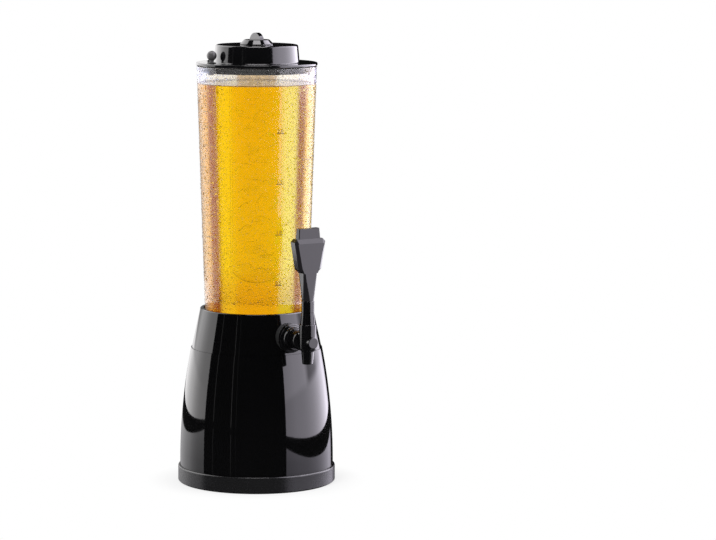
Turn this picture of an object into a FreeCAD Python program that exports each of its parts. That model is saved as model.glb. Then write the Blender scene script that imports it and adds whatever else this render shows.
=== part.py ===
"""Table-top beer tower: a clear tank on a flared stand, with an ice tube in the lid and a lever tap.

Millimetres, +Z up. The origin is the middle of the stand where it meets the table, and the tap points to -Y.
"""
import FreeCAD
import Part
import Sketcher
import math
import operator
import os
from types import SimpleNamespace

# The driving sizes. Everything else is worked out from them.
DRIVING_SIZES = {
    # stand
    "skirt_foot_radius": 80.2,
    "skirt_top_radius": 68.5,
    "skirt_bend_height": 20.0,
    "seam_height": 141.5,
    "seam_step": 0.8,
    "housing_wall": 2.6,
    "collar_height": 41.5,
    "collar_rim_gap": 1.5,
    "collar_lip_width": 3.3,
    "collar_lip_height": 3.0,
    "shelf_drop": 6.5,
    "shelf_thickness": 2.6,
    "shelf_hole_radius": 26.0,
    "spigot_wall": 2.4,
    "screw_flange_thickness": 2.6,
    "screw_flange_radius": 50.0,
    "tray_lift": 0.8,
    "tray_floor": 3.0,
    "tray_height": 17.4,
    "tray_wall": 1.9,
    "tray_gap": 0.2,
    "tray_boss_height": 5.2,
    "tray_rib_height": 4.2,
    "grip_ring_radius": 78.0,
    "grip_ring_width": 4.8,
    "grip_ring_thickness": 2.0,
    "boss_radius": 3.6,
    "screw_radius": 1.5,
    "screw_head_radius": 2.9,
    "screw_head_height": 2.0,
    "screw_length": 11.0,
    # tank
    "tank_foot_radius": 52.5,
    "tank_top_radius": 62.3,
    "tank_height": 299.5,
    "tank_wall": 2.6,
    "tank_floor": 4.0,
    "pad_thickness": 1.5,
    "gasket_height": 3.5,
    # lid
    "lid_overhang": 0.7,
    "lid_flange_thickness": 3.0,
    "lid_skirt_depth": 6.8,
    "lid_skirt_gap": 0.8,
    "lid_wall": 2.4,
    "lid_ring_section": 0.9,
    "lid_groove_depth": 1.2,
    "hub_foot_radius": 44.4,
    "hub_top_radius": 43.0,
    "hub_height": 18.2,
    "hub_edge": 2.0,
    "fill_hole_radius": 13.5,
    "lid_rib_height": 8.0,
    "lid_rib_thickness": 1.6,
    # ice tube
    "ice_top_radius": 21.4,
    "ice_foot_radius": 20.2,
    "ice_length": 245.6,
    "ice_dome_height": 12.0,
    "ice_wall": 1.8,
    "ice_neck": 13.4,
    "ring_section": 0.6,
    # vent
    "vent_angle": 4.0,
    "vent_ball_radius": 5.1,
    "vent_stem_radius": 2.1,
    "vent_rise": 7.8,
    "grommet_wall": 1.3,
    "grommet_lip": 0.9,
    "grommet_lip_height": 0.9,
    "grommet_barb": 0.6,
    "grommet_sleeve": 9.0,
    # fill cap and its knob
    "cap_radius": 14.6,
    "cap_web": 2.2,
    "cap_edge": 0.7,
    "cap_plug_depth": 6.4,
    "cap_wall": 2.0,
    "knob_radius": 17.2,
    "knob_thickness": 2.8,
    "knob_slope": 4.2,
    "knob_edge": 0.6,
    "tab_width": 21.5,
    "tab_height": 7.0,
    "tab_thickness": 4.6,
    "spindle_radius": 3.0,
    # tap
    "shank_height": 159.0,
    "shank_radius": 7.9,
    "shank_bore_radius": 6.0,
    "nut_half_flats": 12.0,
    "nut_thickness": 6.0,
    "washer_radius": 12.6,
    "washer_thickness": 3.0,
    "bell_radius": 15.2,
    "bell_front_radius": 11.0,
    "bell_length": 10.2,
    "tap_reach": 101.0,
    "barrel_radius": 10.2,
    "body_radius": 8.7,
    "body_top": 18.3,
    "body_bore_radius": 6.5,
    "spout_drop": 22.6,
    "spout_top_radius": 6.6,
    "spout_end_radius": 5.5,
    "spout_bore_radius": 4.2,
    "guide_radius": 4.1,
    "seat_offset": 14.0,
    "shank_socket": 16.6,
    "cross_bore_radius": 4.4,
    "boss_reach": 9.4,
    "plug_radius": 5.8,
    "plug_head": 1.6,
    # lever and valve; rises are above the pivot
    "pivot_rise": 21.0,
    "ball_radius": 4.8,
    "stem_radius": 2.3,
    "finger_radius": 1.4,
    "lever_swing_angle": 16.0,
    "bonnet_foot_radius": 7.7,
    "bonnet_top_radius": 6.5,
    "bonnet_height": 12.2,
    "collar_nut_radius": 6.6,
    "collar_nut_top": 21.5,
    "neck_radius": 6.1,
    "neck_top": 50.2,
    "shoulder_rise": 54.4,
    "ridge_rise": 82.3,
    "paddle_top": 85.4,
    "lever_top": 95.9,
    "neck_half_width": 8.15,
    "neck_corner": 1.6,
    "shoulder_half_width": 13.45,
    "ridge_half_width": 18.3,
    "block_half_width": 12.9,
    "face_half_width": 15.2,
    "face_margin": 3.1,
    "paddle_half_depth": 6.6,
    "paddle_bevel": 2.7,
    "ridge_height": 4.6,
    "valve_radius": 4.0,
    "seal_radius": 5.2,
    "seal_thickness": 2.5,
    # clearances
    "running_fit": 0.06,
    "seat_gap": 0.1,
    "open_gap": 0.3,
}

doc = FreeCAD.newDocument("BeerTower")
sheet = doc.addObject("Spreadsheet::Sheet", "Sizes")
for row, (alias, number) in enumerate(DRIVING_SIZES.items(), start=1):
    sheet.set(f"A{row}", alias)
    sheet.set(f"B{row}", str(number))
    sheet.setAlias(f"B{row}", alias)
doc.recompute()


class Size:
    """A length that carries its number and the sheet expression that gives it."""

    def __init__(self, value, text):
        self.value = value
        self.text = text

    def __add__(self, other):
        return combine(operator.add, "+", self, other)

    def __sub__(self, other):
        return combine(operator.sub, "-", self, other)

    def __mul__(self, other):
        return combine(operator.mul, "*", self, other)

    def __truediv__(self, other):
        return combine(operator.truediv, "/", self, other)

    def __neg__(self):
        return combine(operator.mul, "*", Size(-1, "-1"), self)


def size(number):
    return number if isinstance(number, Size) else Size(number, repr(number))


def combine(work, sign, first, second):
    first, second = size(first), size(second)
    return Size(work(first.value, second.value), f"({first.text} {sign} {second.text})")


def root(number):
    return Size(math.sqrt(number.value), f"sqrt({number.text})")


def tangent(angle):
    return Size(math.tan(math.radians(angle.value)), f"tan({angle.text})")


def sine(angle):
    return Size(math.sin(math.radians(angle.value)), f"sin({angle.text})")


def cosine(angle):
    return Size(math.cos(math.radians(angle.value)), f"cos({angle.text})")


def leg(hypotenuse, other_leg):
    """The second leg of a right-angled triangle."""
    return root(hypotenuse * hypotenuse - other_leg * other_leg)


d = SimpleNamespace(**{name: Size(value, f"Sizes.{name}") for name, value in DRIVING_SIZES.items()})

# Heights and radii that several pieces share
tray_floor_top = d.tray_lift + d.tray_floor
shelf_top = d.seam_height - d.shelf_drop
shelf_bottom = shelf_top - d.shelf_thickness
tank_foot = shelf_top + d.pad_thickness
tank_floor_top = tank_foot + d.tank_floor
tank_rim = tank_foot + d.tank_height
collar_rim = d.seam_height + d.collar_height
collar_foot_radius = d.skirt_top_radius - d.seam_step
skirt_inner_top = d.skirt_top_radius - d.housing_wall
skirt_foot = tray_floor_top + d.seat_gap
lid_seat = tank_rim + d.seat_gap
lid_top = lid_seat + d.lid_flange_thickness + d.hub_height
hub_ceiling = lid_top - d.lid_wall
pivot_height = d.shank_height + d.pivot_rise


def tank_outer(z):
    return d.tank_foot_radius + (z - tank_foot) * (d.tank_top_radius - d.tank_foot_radius) / d.tank_height


def tank_inner(z):
    return tank_outer(z) - d.tank_wall


lip_inner_radius = tank_outer(collar_rim) + d.collar_rim_gap
collar_top_radius = lip_inner_radius + d.collar_lip_width


def collar_outer(z):
    slope = (collar_top_radius - collar_foot_radius) / d.collar_height
    return collar_foot_radius + (z - d.seam_height) * slope


def collar_inner(z):
    return collar_outer(z) - d.housing_wall


spigot_radius = skirt_inner_top - d.tray_gap
spigot_inner = spigot_radius - d.spigot_wall
collar_screw_radius = (tank_outer(d.seam_height) + spigot_inner) / 2
skirt_screw_radius = d.skirt_foot_radius - d.housing_wall - d.boss_radius * 1.7
flange_back = collar_outer(d.shank_height - d.bell_radius) + d.washer_thickness * 0.3
bell_front = flange_back + d.bell_length
nut_seat = tank_inner(d.shank_height) - d.washer_thickness


# Sketch and feature helpers
def bind(thing, path, length):
    thing.setExpression(path, length.text)


def new_body(label, x=None, y=None, z=None):
    body = doc.addObject("PartDesign::Body", label)
    body.Label = label
    for axis, length in (("x", x), ("y", y), ("z", z)):
        if length is not None:
            bind(body, f"Placement.Base.{axis}", length)
    return body


def sketch_on(body, plane_role, offset=None):
    sketch = body.newObject("Sketcher::SketchObject", f"{body.Label}_{plane_role[:2].lower()}")
    plane = next(f for f in body.Origin.OriginFeatures if f.Role == plane_role)
    sketch.AttachmentSupport = (plane, [""])
    sketch.MapMode = "FlatFace"
    if offset is not None:
        bind(sketch, "AttachmentOffset.Base.z", offset)
    return sketch


def pin_point(sketch, line, end, x, y):
    """Ties a point of the sketch to its two coordinates."""
    for kind, axis, length in (("DistanceX", -2, size(x)), ("DistanceY", -1, size(y))):
        if length.text == "0":
            sketch.addConstraint(Sketcher.Constraint("PointOnObject", line, end, axis))
            continue
        place = sketch.addConstraint(Sketcher.Constraint(kind, -1, 1, line, end, length.value))
        bind(sketch, f"Constraints[{place}]", length)


def outline(sketch, corners):
    """A closed outline. A corner (x, y, radius) starts an arc, its centre on the left if radius > 0."""
    first = sketch.GeometryCount
    vector = [FreeCAD.Vector(size(c[0]).value, size(c[1]).value, 0) for c in corners]
    ends = []
    for i, corner in enumerate(corners):
        start, stop = vector[i], vector[(i + 1) % len(corners)]
        if len(corner) == 2:
            sketch.addGeometry(Part.LineSegment(start, stop), False)
            ends.append((1, 2))
            continue
        radius = size(corner[2])
        chord = stop - start
        left = FreeCAD.Vector(-chord.y, chord.x, 0).normalize()
        rise = math.sqrt(max(radius.value ** 2 - (chord.Length / 2) ** 2, 0))
        side = 1 if radius.value > 0 else -1
        centre = (start + stop) / 2 + left * rise * side
        circle = Part.Circle(centre, FreeCAD.Vector(0, 0, 1), abs(radius.value))
        a, b = (start, stop) if side > 0 else (stop, start)
        a_turn = math.atan2(a.y - centre.y, a.x - centre.x)
        b_turn = math.atan2(b.y - centre.y, b.x - centre.x)
        b_turn += 2 * math.pi * (b_turn < a_turn)
        sketch.addGeometry(Part.ArcOfCircle(circle, a_turn, b_turn), False)
        ends.append((1, 2) if side > 0 else (2, 1))
        line = first + i
        length = radius if side > 0 else -radius
        place = sketch.addConstraint(Sketcher.Constraint("Radius", line, length.value))
        bind(sketch, f"Constraints[{place}]", length)
    for i, corner in enumerate(corners):
        following = (i + 1) % len(corners)
        end, start = ends[i][1], ends[following][0]
        sketch.addConstraint(Sketcher.Constraint("Coincident", first + i, end, first + following, start))
        pin_point(sketch, first + i, ends[i][0], corner[0], corner[1])
    return sketch


def ring(sketch, x, y, radius):
    """A full circle."""
    centre = FreeCAD.Vector(size(x).value, size(y).value, 0)
    line = sketch.addGeometry(Part.Circle(centre, FreeCAD.Vector(0, 0, 1), radius.value), False)
    pin_point(sketch, line, 3, x, y)
    place = sketch.addConstraint(Sketcher.Constraint("Radius", line, radius.value))
    bind(sketch, f"Constraints[{place}]", radius)
    return sketch


def rounded_box(half_width, half_depth, corner):
    """Corners for outline(): a rectangle about the origin with rounded corners, counter-clockwise."""
    w, h, r = size(half_width), size(half_depth), size(corner)
    return [
        (r - w, -h), (w - r, -h, r), (w, r - h), (w, h - r, r),
        (w - r, h), (r - w, h, r), (-w, h - r), (-w, r - h, r),
    ]


def polygon(sides, inner_radius):
    """Corners for outline(): a regular polygon about the origin, flats at inner_radius."""
    half = math.pi / sides
    turns = [2 * i * half + half for i in range(sides)]
    return [(inner_radius * (math.cos(t) / math.cos(half)), inner_radius * (math.sin(t) / math.cos(half)))
            for t in turns]


def feature(body, kind, sketch, **settings):
    made = body.newObject(f"PartDesign::{kind}", f"{body.Label}_{kind.lower()}")
    made.Profile = sketch
    for name, value in settings.items():
        if isinstance(value, Size):
            bind(made, name, value)
        else:
            setattr(made, name, value)
    sketch.Visibility = False
    return made


def turned(body, corners, axis="V_Axis", plane="XZ_Plane", cut=False):
    """A full revolution of an outline, added or cut away."""
    sketch = outline(sketch_on(body, plane), corners)
    made = feature(body, "Groove" if cut else "Revolution", sketch, Angle=360.0)
    made.ReferenceAxis = (sketch, [axis])
    return made


def cut_through(body, sketch, backwards=False):
    return feature(body, "Pocket", sketch, Type="ThroughAll", Reversed=backwards)


def around(body, originals, count):
    """Repeats features about the body's upright axis."""
    pattern = body.newObject("PartDesign::PolarPattern", f"{body.Label}_around")
    pattern.Originals = originals
    axis = next(f for f in body.Origin.OriginFeatures if f.Role == "Z_Axis")
    pattern.Axis = (axis, [""])
    pattern.Angle = 360.0
    pattern.Occurrences = count
    body.Tip = pattern
    return pattern


def screws(label, circle_radius, head_under, count=4):
    """Pan-head screws with a cross recess, driven upwards on a circle."""
    body = new_body(label)
    body.AllowCompound = True
    axis_line = circle_radius
    sketch = sketch_on(body, "XZ_Plane")
    below = head_under - d.screw_head_height
    outline(sketch, [
        (axis_line, below), (axis_line + d.screw_head_radius * 0.8, below),
        (axis_line + d.screw_head_radius, below + d.screw_head_height * 0.35),
        (axis_line + d.screw_head_radius, head_under), (axis_line + d.screw_radius, head_under),
        (axis_line + d.screw_radius, head_under + d.screw_length - d.screw_radius),
        (axis_line, head_under + d.screw_length),
    ])
    blank = feature(body, "Revolution", sketch, Angle=360.0)
    blank.ReferenceAxis = (sketch, ["Edge7"])
    arm, half = d.screw_head_radius * 0.62, d.screw_head_radius * 0.14
    recess = sketch_on(body, "XY_Plane", below)
    outline(recess, [
        (axis_line - arm, -half), (axis_line - half, -half), (axis_line - half, -arm),
        (axis_line + half, -arm), (axis_line + half, -half), (axis_line + arm, -half),
        (axis_line + arm, half), (axis_line + half, half), (axis_line + half, arm),
        (axis_line - half, arm), (axis_line - half, half), (axis_line - arm, half),
    ])
    slot = feature(body, "Pocket", recess, Length=d.screw_head_height * 0.6, Reversed=True)
    around(body, [blank, slot], count)
    return body


def wall_cone(label, shift, bottom, top, radius_at):
    """A solid cone between two heights, for trimming pieces that sit against a tapered wall."""
    cone = doc.addObject("Part::Cone", label)
    bind(cone, "Radius1", radius_at(bottom) + shift)
    bind(cone, "Radius2", radius_at(top) + shift)
    bind(cone, "Height", top - bottom)
    bind(cone, "Placement.Base.z", bottom)
    return cone


def shank_tube(label, radius, bore, back, front):
    """A tube about the shank's axis, between two distances in front of the tower's axis."""
    parts = []
    for suffix, length in (("blank", radius), ("bore", bore)):
        rod = doc.addObject("Part::Cylinder", f"{label}_{suffix}")
        bind(rod, "Radius", length)
        margin = 0 if suffix == "blank" else 1
        bind(rod, "Height", front - back + 2 * margin)
        rod.Placement.Rotation = FreeCAD.Rotation(FreeCAD.Vector(1, 0, 0), 90)
        bind(rod, "Placement.Base.y", -(back - margin))
        bind(rod, "Placement.Base.z", d.shank_height)
        parts.append(rod)
    return boolean("Cut", f"{label}_tube", *parts)


def boolean(kind, label, base, tool):
    made = doc.addObject(f"Part::{kind}", label)
    made.Base = base
    made.Tool = tool
    made.Label = label
    return made


# Stand
def base_tray():
    body = new_body("base_tray")
    wall_inner = d.skirt_foot_radius + d.tray_gap
    outer = wall_inner + d.tray_wall
    edge = d.tray_wall * 0.75
    groove_in = d.grip_ring_radius - d.grip_ring_width / 2 - d.seat_gap
    groove_out = d.grip_ring_radius + d.grip_ring_width / 2 + d.seat_gap
    groove_top = d.grip_ring_thickness + d.seat_gap
    turned(body, [
        (0, d.tray_lift), (groove_in, d.tray_lift), (groove_in, groove_top), (groove_out, groove_top),
        (groove_out, d.tray_lift), (outer - d.tray_lift, d.tray_lift), (outer, d.tray_lift * 2),
        (outer, d.tray_height - edge, edge), (outer - edge, d.tray_height), (wall_inner, d.tray_height),
        (wall_inner, tray_floor_top), (0, tray_floor_top),
    ])
    posts = feature(body, "Pad", ring(sketch_on(body, "XY_Plane", tray_floor_top), skirt_screw_radius, 0,
                                      d.boss_radius + 1), Length=d.tray_boss_height)
    sink = feature(body, "Pocket", ring(sketch_on(body, "XY_Plane", d.tray_lift), skirt_screw_radius, 0,
                                        d.screw_head_radius + d.open_gap),
                   Length=d.screw_head_height + 1, Reversed=True)
    hole = cut_through(body, ring(sketch_on(body, "XY_Plane"), skirt_screw_radius, 0,
                                  d.screw_radius + d.open_gap), backwards=True)
    around(body, [posts, sink, hole], 4)
    rib_start = d.screw_head_radius * 3
    rib = sketch_on(body, "XY_Plane", tray_floor_top)
    outline(rib, [(rib_start, -0.9), (skirt_screw_radius - d.boss_radius, -0.9),
                  (skirt_screw_radius - d.boss_radius, 0.9), (rib_start, 0.9)])
    around(body, [feature(body, "Pad", rib, Length=d.tray_rib_height)], 8)
    return body


def grip_ring():
    body = new_body("grip_ring")
    inner, outer = d.grip_ring_radius - d.grip_ring_width / 2, d.grip_ring_radius + d.grip_ring_width / 2
    chamfer = d.grip_ring_thickness * 0.2
    turned(body, [(inner + chamfer, 0), (outer - chamfer, 0), (outer, chamfer),
                  (outer, d.grip_ring_thickness), (inner, d.grip_ring_thickness), (inner, chamfer)])
    return body


def lower_housing():
    body = new_body("lower_housing")
    fall = d.skirt_foot_radius - d.skirt_top_radius
    rise = d.seam_height - d.skirt_bend_height
    flare = (rise * rise + fall * fall) / (fall * 2)
    inner_flare = flare - d.housing_wall
    inner_foot = d.skirt_foot_radius - d.housing_wall
    flange_top = shelf_bottom - d.seat_gap
    flange_bottom = flange_top - d.screw_flange_thickness

    def inner(z):
        return inner_foot - inner_flare + leg(inner_flare, z - d.skirt_bend_height)

    turned(body, [
        (inner_foot, skirt_foot), (d.skirt_foot_radius, skirt_foot),
        (d.skirt_foot_radius, d.skirt_bend_height, flare), (d.skirt_top_radius, d.seam_height),
        (skirt_inner_top, d.seam_height), (skirt_inner_top, flange_top),
        (d.screw_flange_radius, flange_top), (d.screw_flange_radius, flange_bottom),
        (inner(flange_bottom), flange_bottom, -inner_flare), (inner_foot, d.skirt_bend_height),
    ])
    post_foot = tray_floor_top + d.tray_boss_height + d.seat_gap
    post_height = d.boss_radius * 7
    post = feature(body, "Pad", ring(sketch_on(body, "XY_Plane", post_foot), skirt_screw_radius, 0,
                                     d.boss_radius), Length=post_height)
    web = sketch_on(body, "XY_Plane", post_foot)
    outline(web, [(skirt_screw_radius, -1.0), (inner_foot + 0.4, -1.0), (inner_foot + 0.4, 1.0),
                  (skirt_screw_radius, 1.0)])
    web_pad = feature(body, "Pad", web, Length=post_height)
    pilot = feature(body, "Pocket", ring(sketch_on(body, "XY_Plane", post_foot), skirt_screw_radius, 0,
                                         d.screw_radius + d.running_fit),
                    Length=d.screw_length, Reversed=True)
    around(body, [post, web_pad, pilot], 4)
    hole = cut_through(body, ring(sketch_on(body, "XY_Plane", flange_bottom), collar_screw_radius, 0,
                                  d.screw_radius + d.open_gap), backwards=True)
    around(body, [hole], 4)
    return body


def upper_collar():
    body = new_body("upper_collar")
    seam = d.seam_height + d.seat_gap
    inner_foot = collar_foot_radius - d.housing_wall
    lip_foot = collar_rim - d.collar_lip_height
    wall_at_lip = collar_inner(lip_foot)
    edge = d.collar_lip_width * 0.3
    step = seam + d.spigot_wall
    turned(body, [
        (d.shelf_hole_radius, shelf_bottom), (spigot_radius, shelf_bottom), (spigot_radius, seam),
        (collar_foot_radius, seam), (collar_outer(collar_rim - edge), collar_rim - edge, edge * 1.05),
        (collar_top_radius - edge, collar_rim), (lip_inner_radius, collar_rim),
        (lip_inner_radius, lip_foot), (wall_at_lip, lip_foot), (collar_inner(step), step),
        (spigot_inner, step), (spigot_inner, shelf_top), (d.shelf_hole_radius, shelf_top),
    ])
    boss = feature(body, "Pad", ring(sketch_on(body, "XY_Plane", shelf_bottom), collar_screw_radius, 0,
                                     d.boss_radius), Length=d.screw_length)
    pilot = feature(body, "Pocket", ring(sketch_on(body, "XY_Plane", shelf_bottom), collar_screw_radius, 0,
                                         d.screw_radius + d.running_fit),
                    Length=d.screw_length - 1, Reversed=True)
    around(body, [boss, pilot], 4)
    cut_through(body, ring(sketch_on(body, "XZ_Plane"), 0, d.shank_height, d.shank_radius + d.open_gap),
                backwards=True)
    return body


def tank():
    body = new_body("tank")
    foot_edge, inner_edge, rim_edge = size(3.0), size(3.5), d.tank_wall / 2
    turned(body, [
        (0, tank_foot), (tank_outer(tank_foot) - foot_edge, tank_foot, foot_edge * 1.02),
        (tank_outer(tank_foot + foot_edge), tank_foot + foot_edge),
        (tank_outer(tank_rim - rim_edge), tank_rim - rim_edge, rim_edge * 1.05),
        (tank_inner(tank_rim - rim_edge), tank_rim - rim_edge),
        (tank_inner(tank_floor_top + inner_edge), tank_floor_top + inner_edge, -inner_edge * 1.02),
        (tank_inner(tank_floor_top) - inner_edge, tank_floor_top), (0, tank_floor_top),
    ])
    cut_through(body, ring(sketch_on(body, "XZ_Plane"), 0, d.shank_height, d.shank_radius + d.open_gap),
                backwards=True)
    return body


def tank_pad():
    body = new_body("tank_pad")
    outer = d.tank_foot_radius - 4.0
    turned(body, [(d.shelf_hole_radius + 2, shelf_top), (outer, shelf_top), (outer, tank_foot),
                  (d.shelf_hole_radius + 2, tank_foot)])
    return body


def mouth_gasket():
    body = new_body("mouth_gasket")
    top = collar_rim - d.collar_lip_height - d.seat_gap
    foot = top - d.gasket_height
    turned(body, [(tank_outer(foot) + d.seat_gap, foot), (collar_inner(foot) - d.seat_gap, foot),
                  (collar_inner(top) - d.seat_gap, top), (tank_outer(top) + d.seat_gap, top)])
    return body


# Lid, ice tube, vent and cap
skirt_foot_z = tank_rim - d.lid_skirt_depth
skirt_outer = tank_inner(skirt_foot_z) - d.lid_skirt_gap
lid_ring_height = skirt_foot_z + d.lid_skirt_depth * 0.45
lid_groove_floor = skirt_outer - d.lid_groove_depth
skirt_inner = skirt_outer - d.lid_wall
grommet_outer = d.vent_stem_radius + d.grommet_wall
vent_radius = skirt_inner - (grommet_outer + d.grommet_barb) - d.open_gap
vent_place = {"x": -vent_radius * cosine(d.vent_angle), "y": vent_radius * sine(d.vent_angle)}


def lid():
    body = new_body("lid")
    flange_top = lid_seat + d.lid_flange_thickness
    flange_radius = d.tank_top_radius + d.lid_overhang
    groove = d.lid_ring_section + d.seat_gap
    hub_inner = d.hub_foot_radius - d.lid_wall
    edge = d.hub_edge
    socket = d.ice_top_radius + d.running_fit
    socket_foot = lid_seat + d.lid_flange_thickness
    turned(body, [
        (socket, socket_foot), (socket + d.lid_wall, socket_foot), (socket + d.lid_wall, hub_ceiling),
        (d.hub_top_radius - d.lid_wall, hub_ceiling), (hub_inner, lid_seat), (skirt_inner, lid_seat),
        (skirt_inner, skirt_foot_z), (skirt_outer, skirt_foot_z), (skirt_outer, lid_ring_height - groove),
        (lid_groove_floor, lid_ring_height - groove), (lid_groove_floor, lid_ring_height + groove),
        (skirt_outer, lid_ring_height + groove), (skirt_outer, lid_seat), (flange_radius - 0.6, lid_seat),
        (flange_radius, lid_seat + 0.6), (flange_radius, flange_top - 1, size(1.0)),
        (flange_radius - 1, flange_top), (d.hub_foot_radius + 1.2, flange_top, size(-1.2)),
        (d.hub_foot_radius - 0.1, flange_top + 1.2), (d.hub_top_radius, lid_top - edge, edge),
        (d.hub_top_radius - edge, lid_top), (d.fill_hole_radius, lid_top),
        (d.fill_hole_radius, hub_ceiling), (socket, hub_ceiling),
    ])
    rib = sketch_on(body, "XY_Plane", hub_ceiling - d.lid_rib_height)
    half = d.lid_rib_thickness / 2
    outline(rib, [(socket + d.lid_wall * 0.5, -half), (d.hub_top_radius - d.lid_wall * 0.6, -half),
                  (d.hub_top_radius - d.lid_wall * 0.6, half), (socket + d.lid_wall * 0.5, half)])
    around(body, [feature(body, "Pad", rib, Length=d.lid_rib_height + 0.5)], 6)
    cut_through(body, ring(sketch_on(body, "XY_Plane", skirt_foot_z - 1), vent_place["x"], vent_place["y"],
                           grommet_outer + d.seat_gap), backwards=True)
    return body


def seal_ring(label, groove_floor, section, z):
    """A round-section sealing ring about the upright axis, seated on the floor of its groove."""
    made = doc.addObject("Part::Torus", label)
    made.Label = label
    bind(made, "Radius1", groove_floor + section)
    bind(made, "Radius2", section - d.running_fit)
    bind(made, "Placement.Base.z", z)
    return made


def lid_seal():
    return seal_ring("lid_seal", lid_groove_floor, d.lid_ring_section, lid_ring_height)


ice_head = hub_ceiling - d.seat_gap
ice_flange_top = lid_seat + d.lid_flange_thickness - d.seat_gap
ice_ring_height = ice_flange_top + d.ice_neck * 0.45
cap_foot = lid_top + d.seat_gap - d.cap_plug_depth
cap_ring_height = cap_foot + d.cap_plug_depth * 0.3


def ice_tube():
    body = new_body("ice_tube")
    flange = d.ice_top_radius + d.lid_wall + 0.4
    groove = d.ring_section + d.running_fit
    neck = d.ice_top_radius
    groove_floor = neck - d.ring_section * 2
    foot = ice_head - d.ice_length
    dome_top = foot + d.ice_dome_height
    inner_top = groove_floor - d.ice_wall * 0.6
    inner_foot = d.ice_foot_radius - d.ice_wall
    dome = (d.ice_foot_radius * d.ice_foot_radius + d.ice_dome_height * d.ice_dome_height) / (
        d.ice_dome_height * 2)
    inner_rise = d.ice_dome_height - d.ice_wall
    inner_dome = (inner_foot * inner_foot + inner_rise * inner_rise) / (inner_rise * 2)
    turned(body, [
        (0, foot, dome), (d.ice_foot_radius, dome_top),
        (neck - 0.2, ice_flange_top - 2.4), (flange, ice_flange_top - 2.4), (flange, ice_flange_top),
        (neck, ice_flange_top), (neck, ice_ring_height - groove), (groove_floor, ice_ring_height - groove),
        (groove_floor, ice_ring_height + groove), (neck, ice_ring_height + groove), (neck, ice_head),
        (inner_top, ice_head), (inner_top, ice_flange_top),
        (neck - d.ice_wall, ice_flange_top - d.ice_wall * 3),
        (inner_foot, dome_top, -inner_dome), (0, foot + d.ice_wall),
    ])
    return body


def ice_seal():
    return seal_ring("ice_seal", d.ice_top_radius - d.ring_section * 2, d.ring_section, ice_ring_height)


def vent_grommet():
    body = new_body("vent_grommet", **vent_place)
    flange_top = lid_seat + d.lid_flange_thickness
    bore = d.vent_stem_radius + d.running_fit
    wall, barb = grommet_outer, grommet_outer + d.grommet_barb
    lip = wall + d.grommet_lip
    lip_top, lip_edge = flange_top + d.grommet_lip_height, d.grommet_lip_height * 0.5
    sleeve_foot = lid_seat - d.grommet_sleeve
    turned(body, [
        (bore, sleeve_foot), (wall - 0.5, sleeve_foot), (wall, lid_seat - 1.6), (barb, lid_seat - 1.2),
        (barb, lid_seat - d.seat_gap), (wall, lid_seat - d.seat_gap),
        (wall, flange_top + d.seat_gap), (lip, flange_top + d.seat_gap), (lip, lip_top - lip_edge),
        (lip - lip_edge, lip_top), (bore, lip_top),
    ])
    return body


def vent_plug():
    body = new_body("vent_plug", **vent_place)
    centre = lid_seat + d.lid_flange_thickness + d.vent_rise
    ball, stem = d.vent_ball_radius, d.vent_stem_radius
    meet = leg(ball, stem)
    foot = lid_seat - d.grommet_sleeve * 0.7
    turned(body, [
        (0, foot), (stem - 0.8, foot), (stem, foot + 1.4), (stem, centre - meet, ball), (0, centre + ball),
    ])
    return body


def fill_cap():
    body = new_body("fill_cap")
    seat = lid_top + d.seat_gap
    web_top = seat + d.cap_web
    plug = d.fill_hole_radius - d.open_gap
    groove = d.ring_section + d.running_fit
    groove_floor = plug - d.ring_section * 2
    hole = d.spindle_radius + d.running_fit
    turned(body, [
        (hole, seat), (plug - d.cap_wall, seat), (plug - d.cap_wall, cap_foot), (plug, cap_foot),
        (plug, cap_ring_height - groove), (groove_floor, cap_ring_height - groove),
        (groove_floor, cap_ring_height + groove), (plug, cap_ring_height + groove), (plug, seat),
        (d.cap_radius, seat), (d.cap_radius, web_top - d.cap_edge, d.cap_edge),
        (d.cap_radius - d.cap_edge, web_top),
        (hole, web_top),
    ])
    return body


def cap_seal():
    plug = d.fill_hole_radius - d.open_gap
    return seal_ring("cap_seal", plug - d.ring_section * 2, d.ring_section, cap_ring_height)


knob_foot = lid_top + d.seat_gap + d.cap_web + d.seat_gap


def cap_knob():
    """Bell-shaped knob over the cap, with an upright finger tab in line with the tap."""
    body = new_body("cap_knob")
    plate_top = knob_foot + d.knob_thickness
    stem_foot = knob_foot - d.cap_web - d.seat_gap * 2
    bell_foot = lid_top + d.open_gap
    recess = d.cap_radius + d.open_gap
    shoulder = d.knob_radius - d.knob_slope
    turned(body, [
        (0, stem_foot), (d.spindle_radius, stem_foot), (d.spindle_radius, knob_foot),
        (recess - d.cap_edge, knob_foot), (recess, knob_foot - d.cap_edge), (recess, bell_foot),
        (d.knob_radius, bell_foot), (d.knob_radius, bell_foot + d.knob_edge),
        (shoulder + d.knob_edge, plate_top - d.knob_edge, d.knob_edge * 3),
        (shoulder - d.knob_edge, plate_top), (0, plate_top),
    ])
    tab = sketch_on(body, "YZ_Plane")
    half = d.tab_width / 2
    round_radius = (half * half + d.tab_height * d.tab_height) / (d.tab_height * 2)
    outline(tab, [(-half, plate_top - 0.5), (half, plate_top - 0.5), (half, plate_top, round_radius),
                  (0, plate_top + d.tab_height, round_radius), (-half, plate_top)])
    feature(body, "Pad", tab, Length=d.tab_thickness, Midplane=True)
    screw_hole = ring(sketch_on(body, "XY_Plane", stem_foot), 0, 0, d.screw_radius + d.running_fit)
    feature(body, "Pocket", screw_hole, Length=d.cap_web + 1, Reversed=True)
    return body


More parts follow.
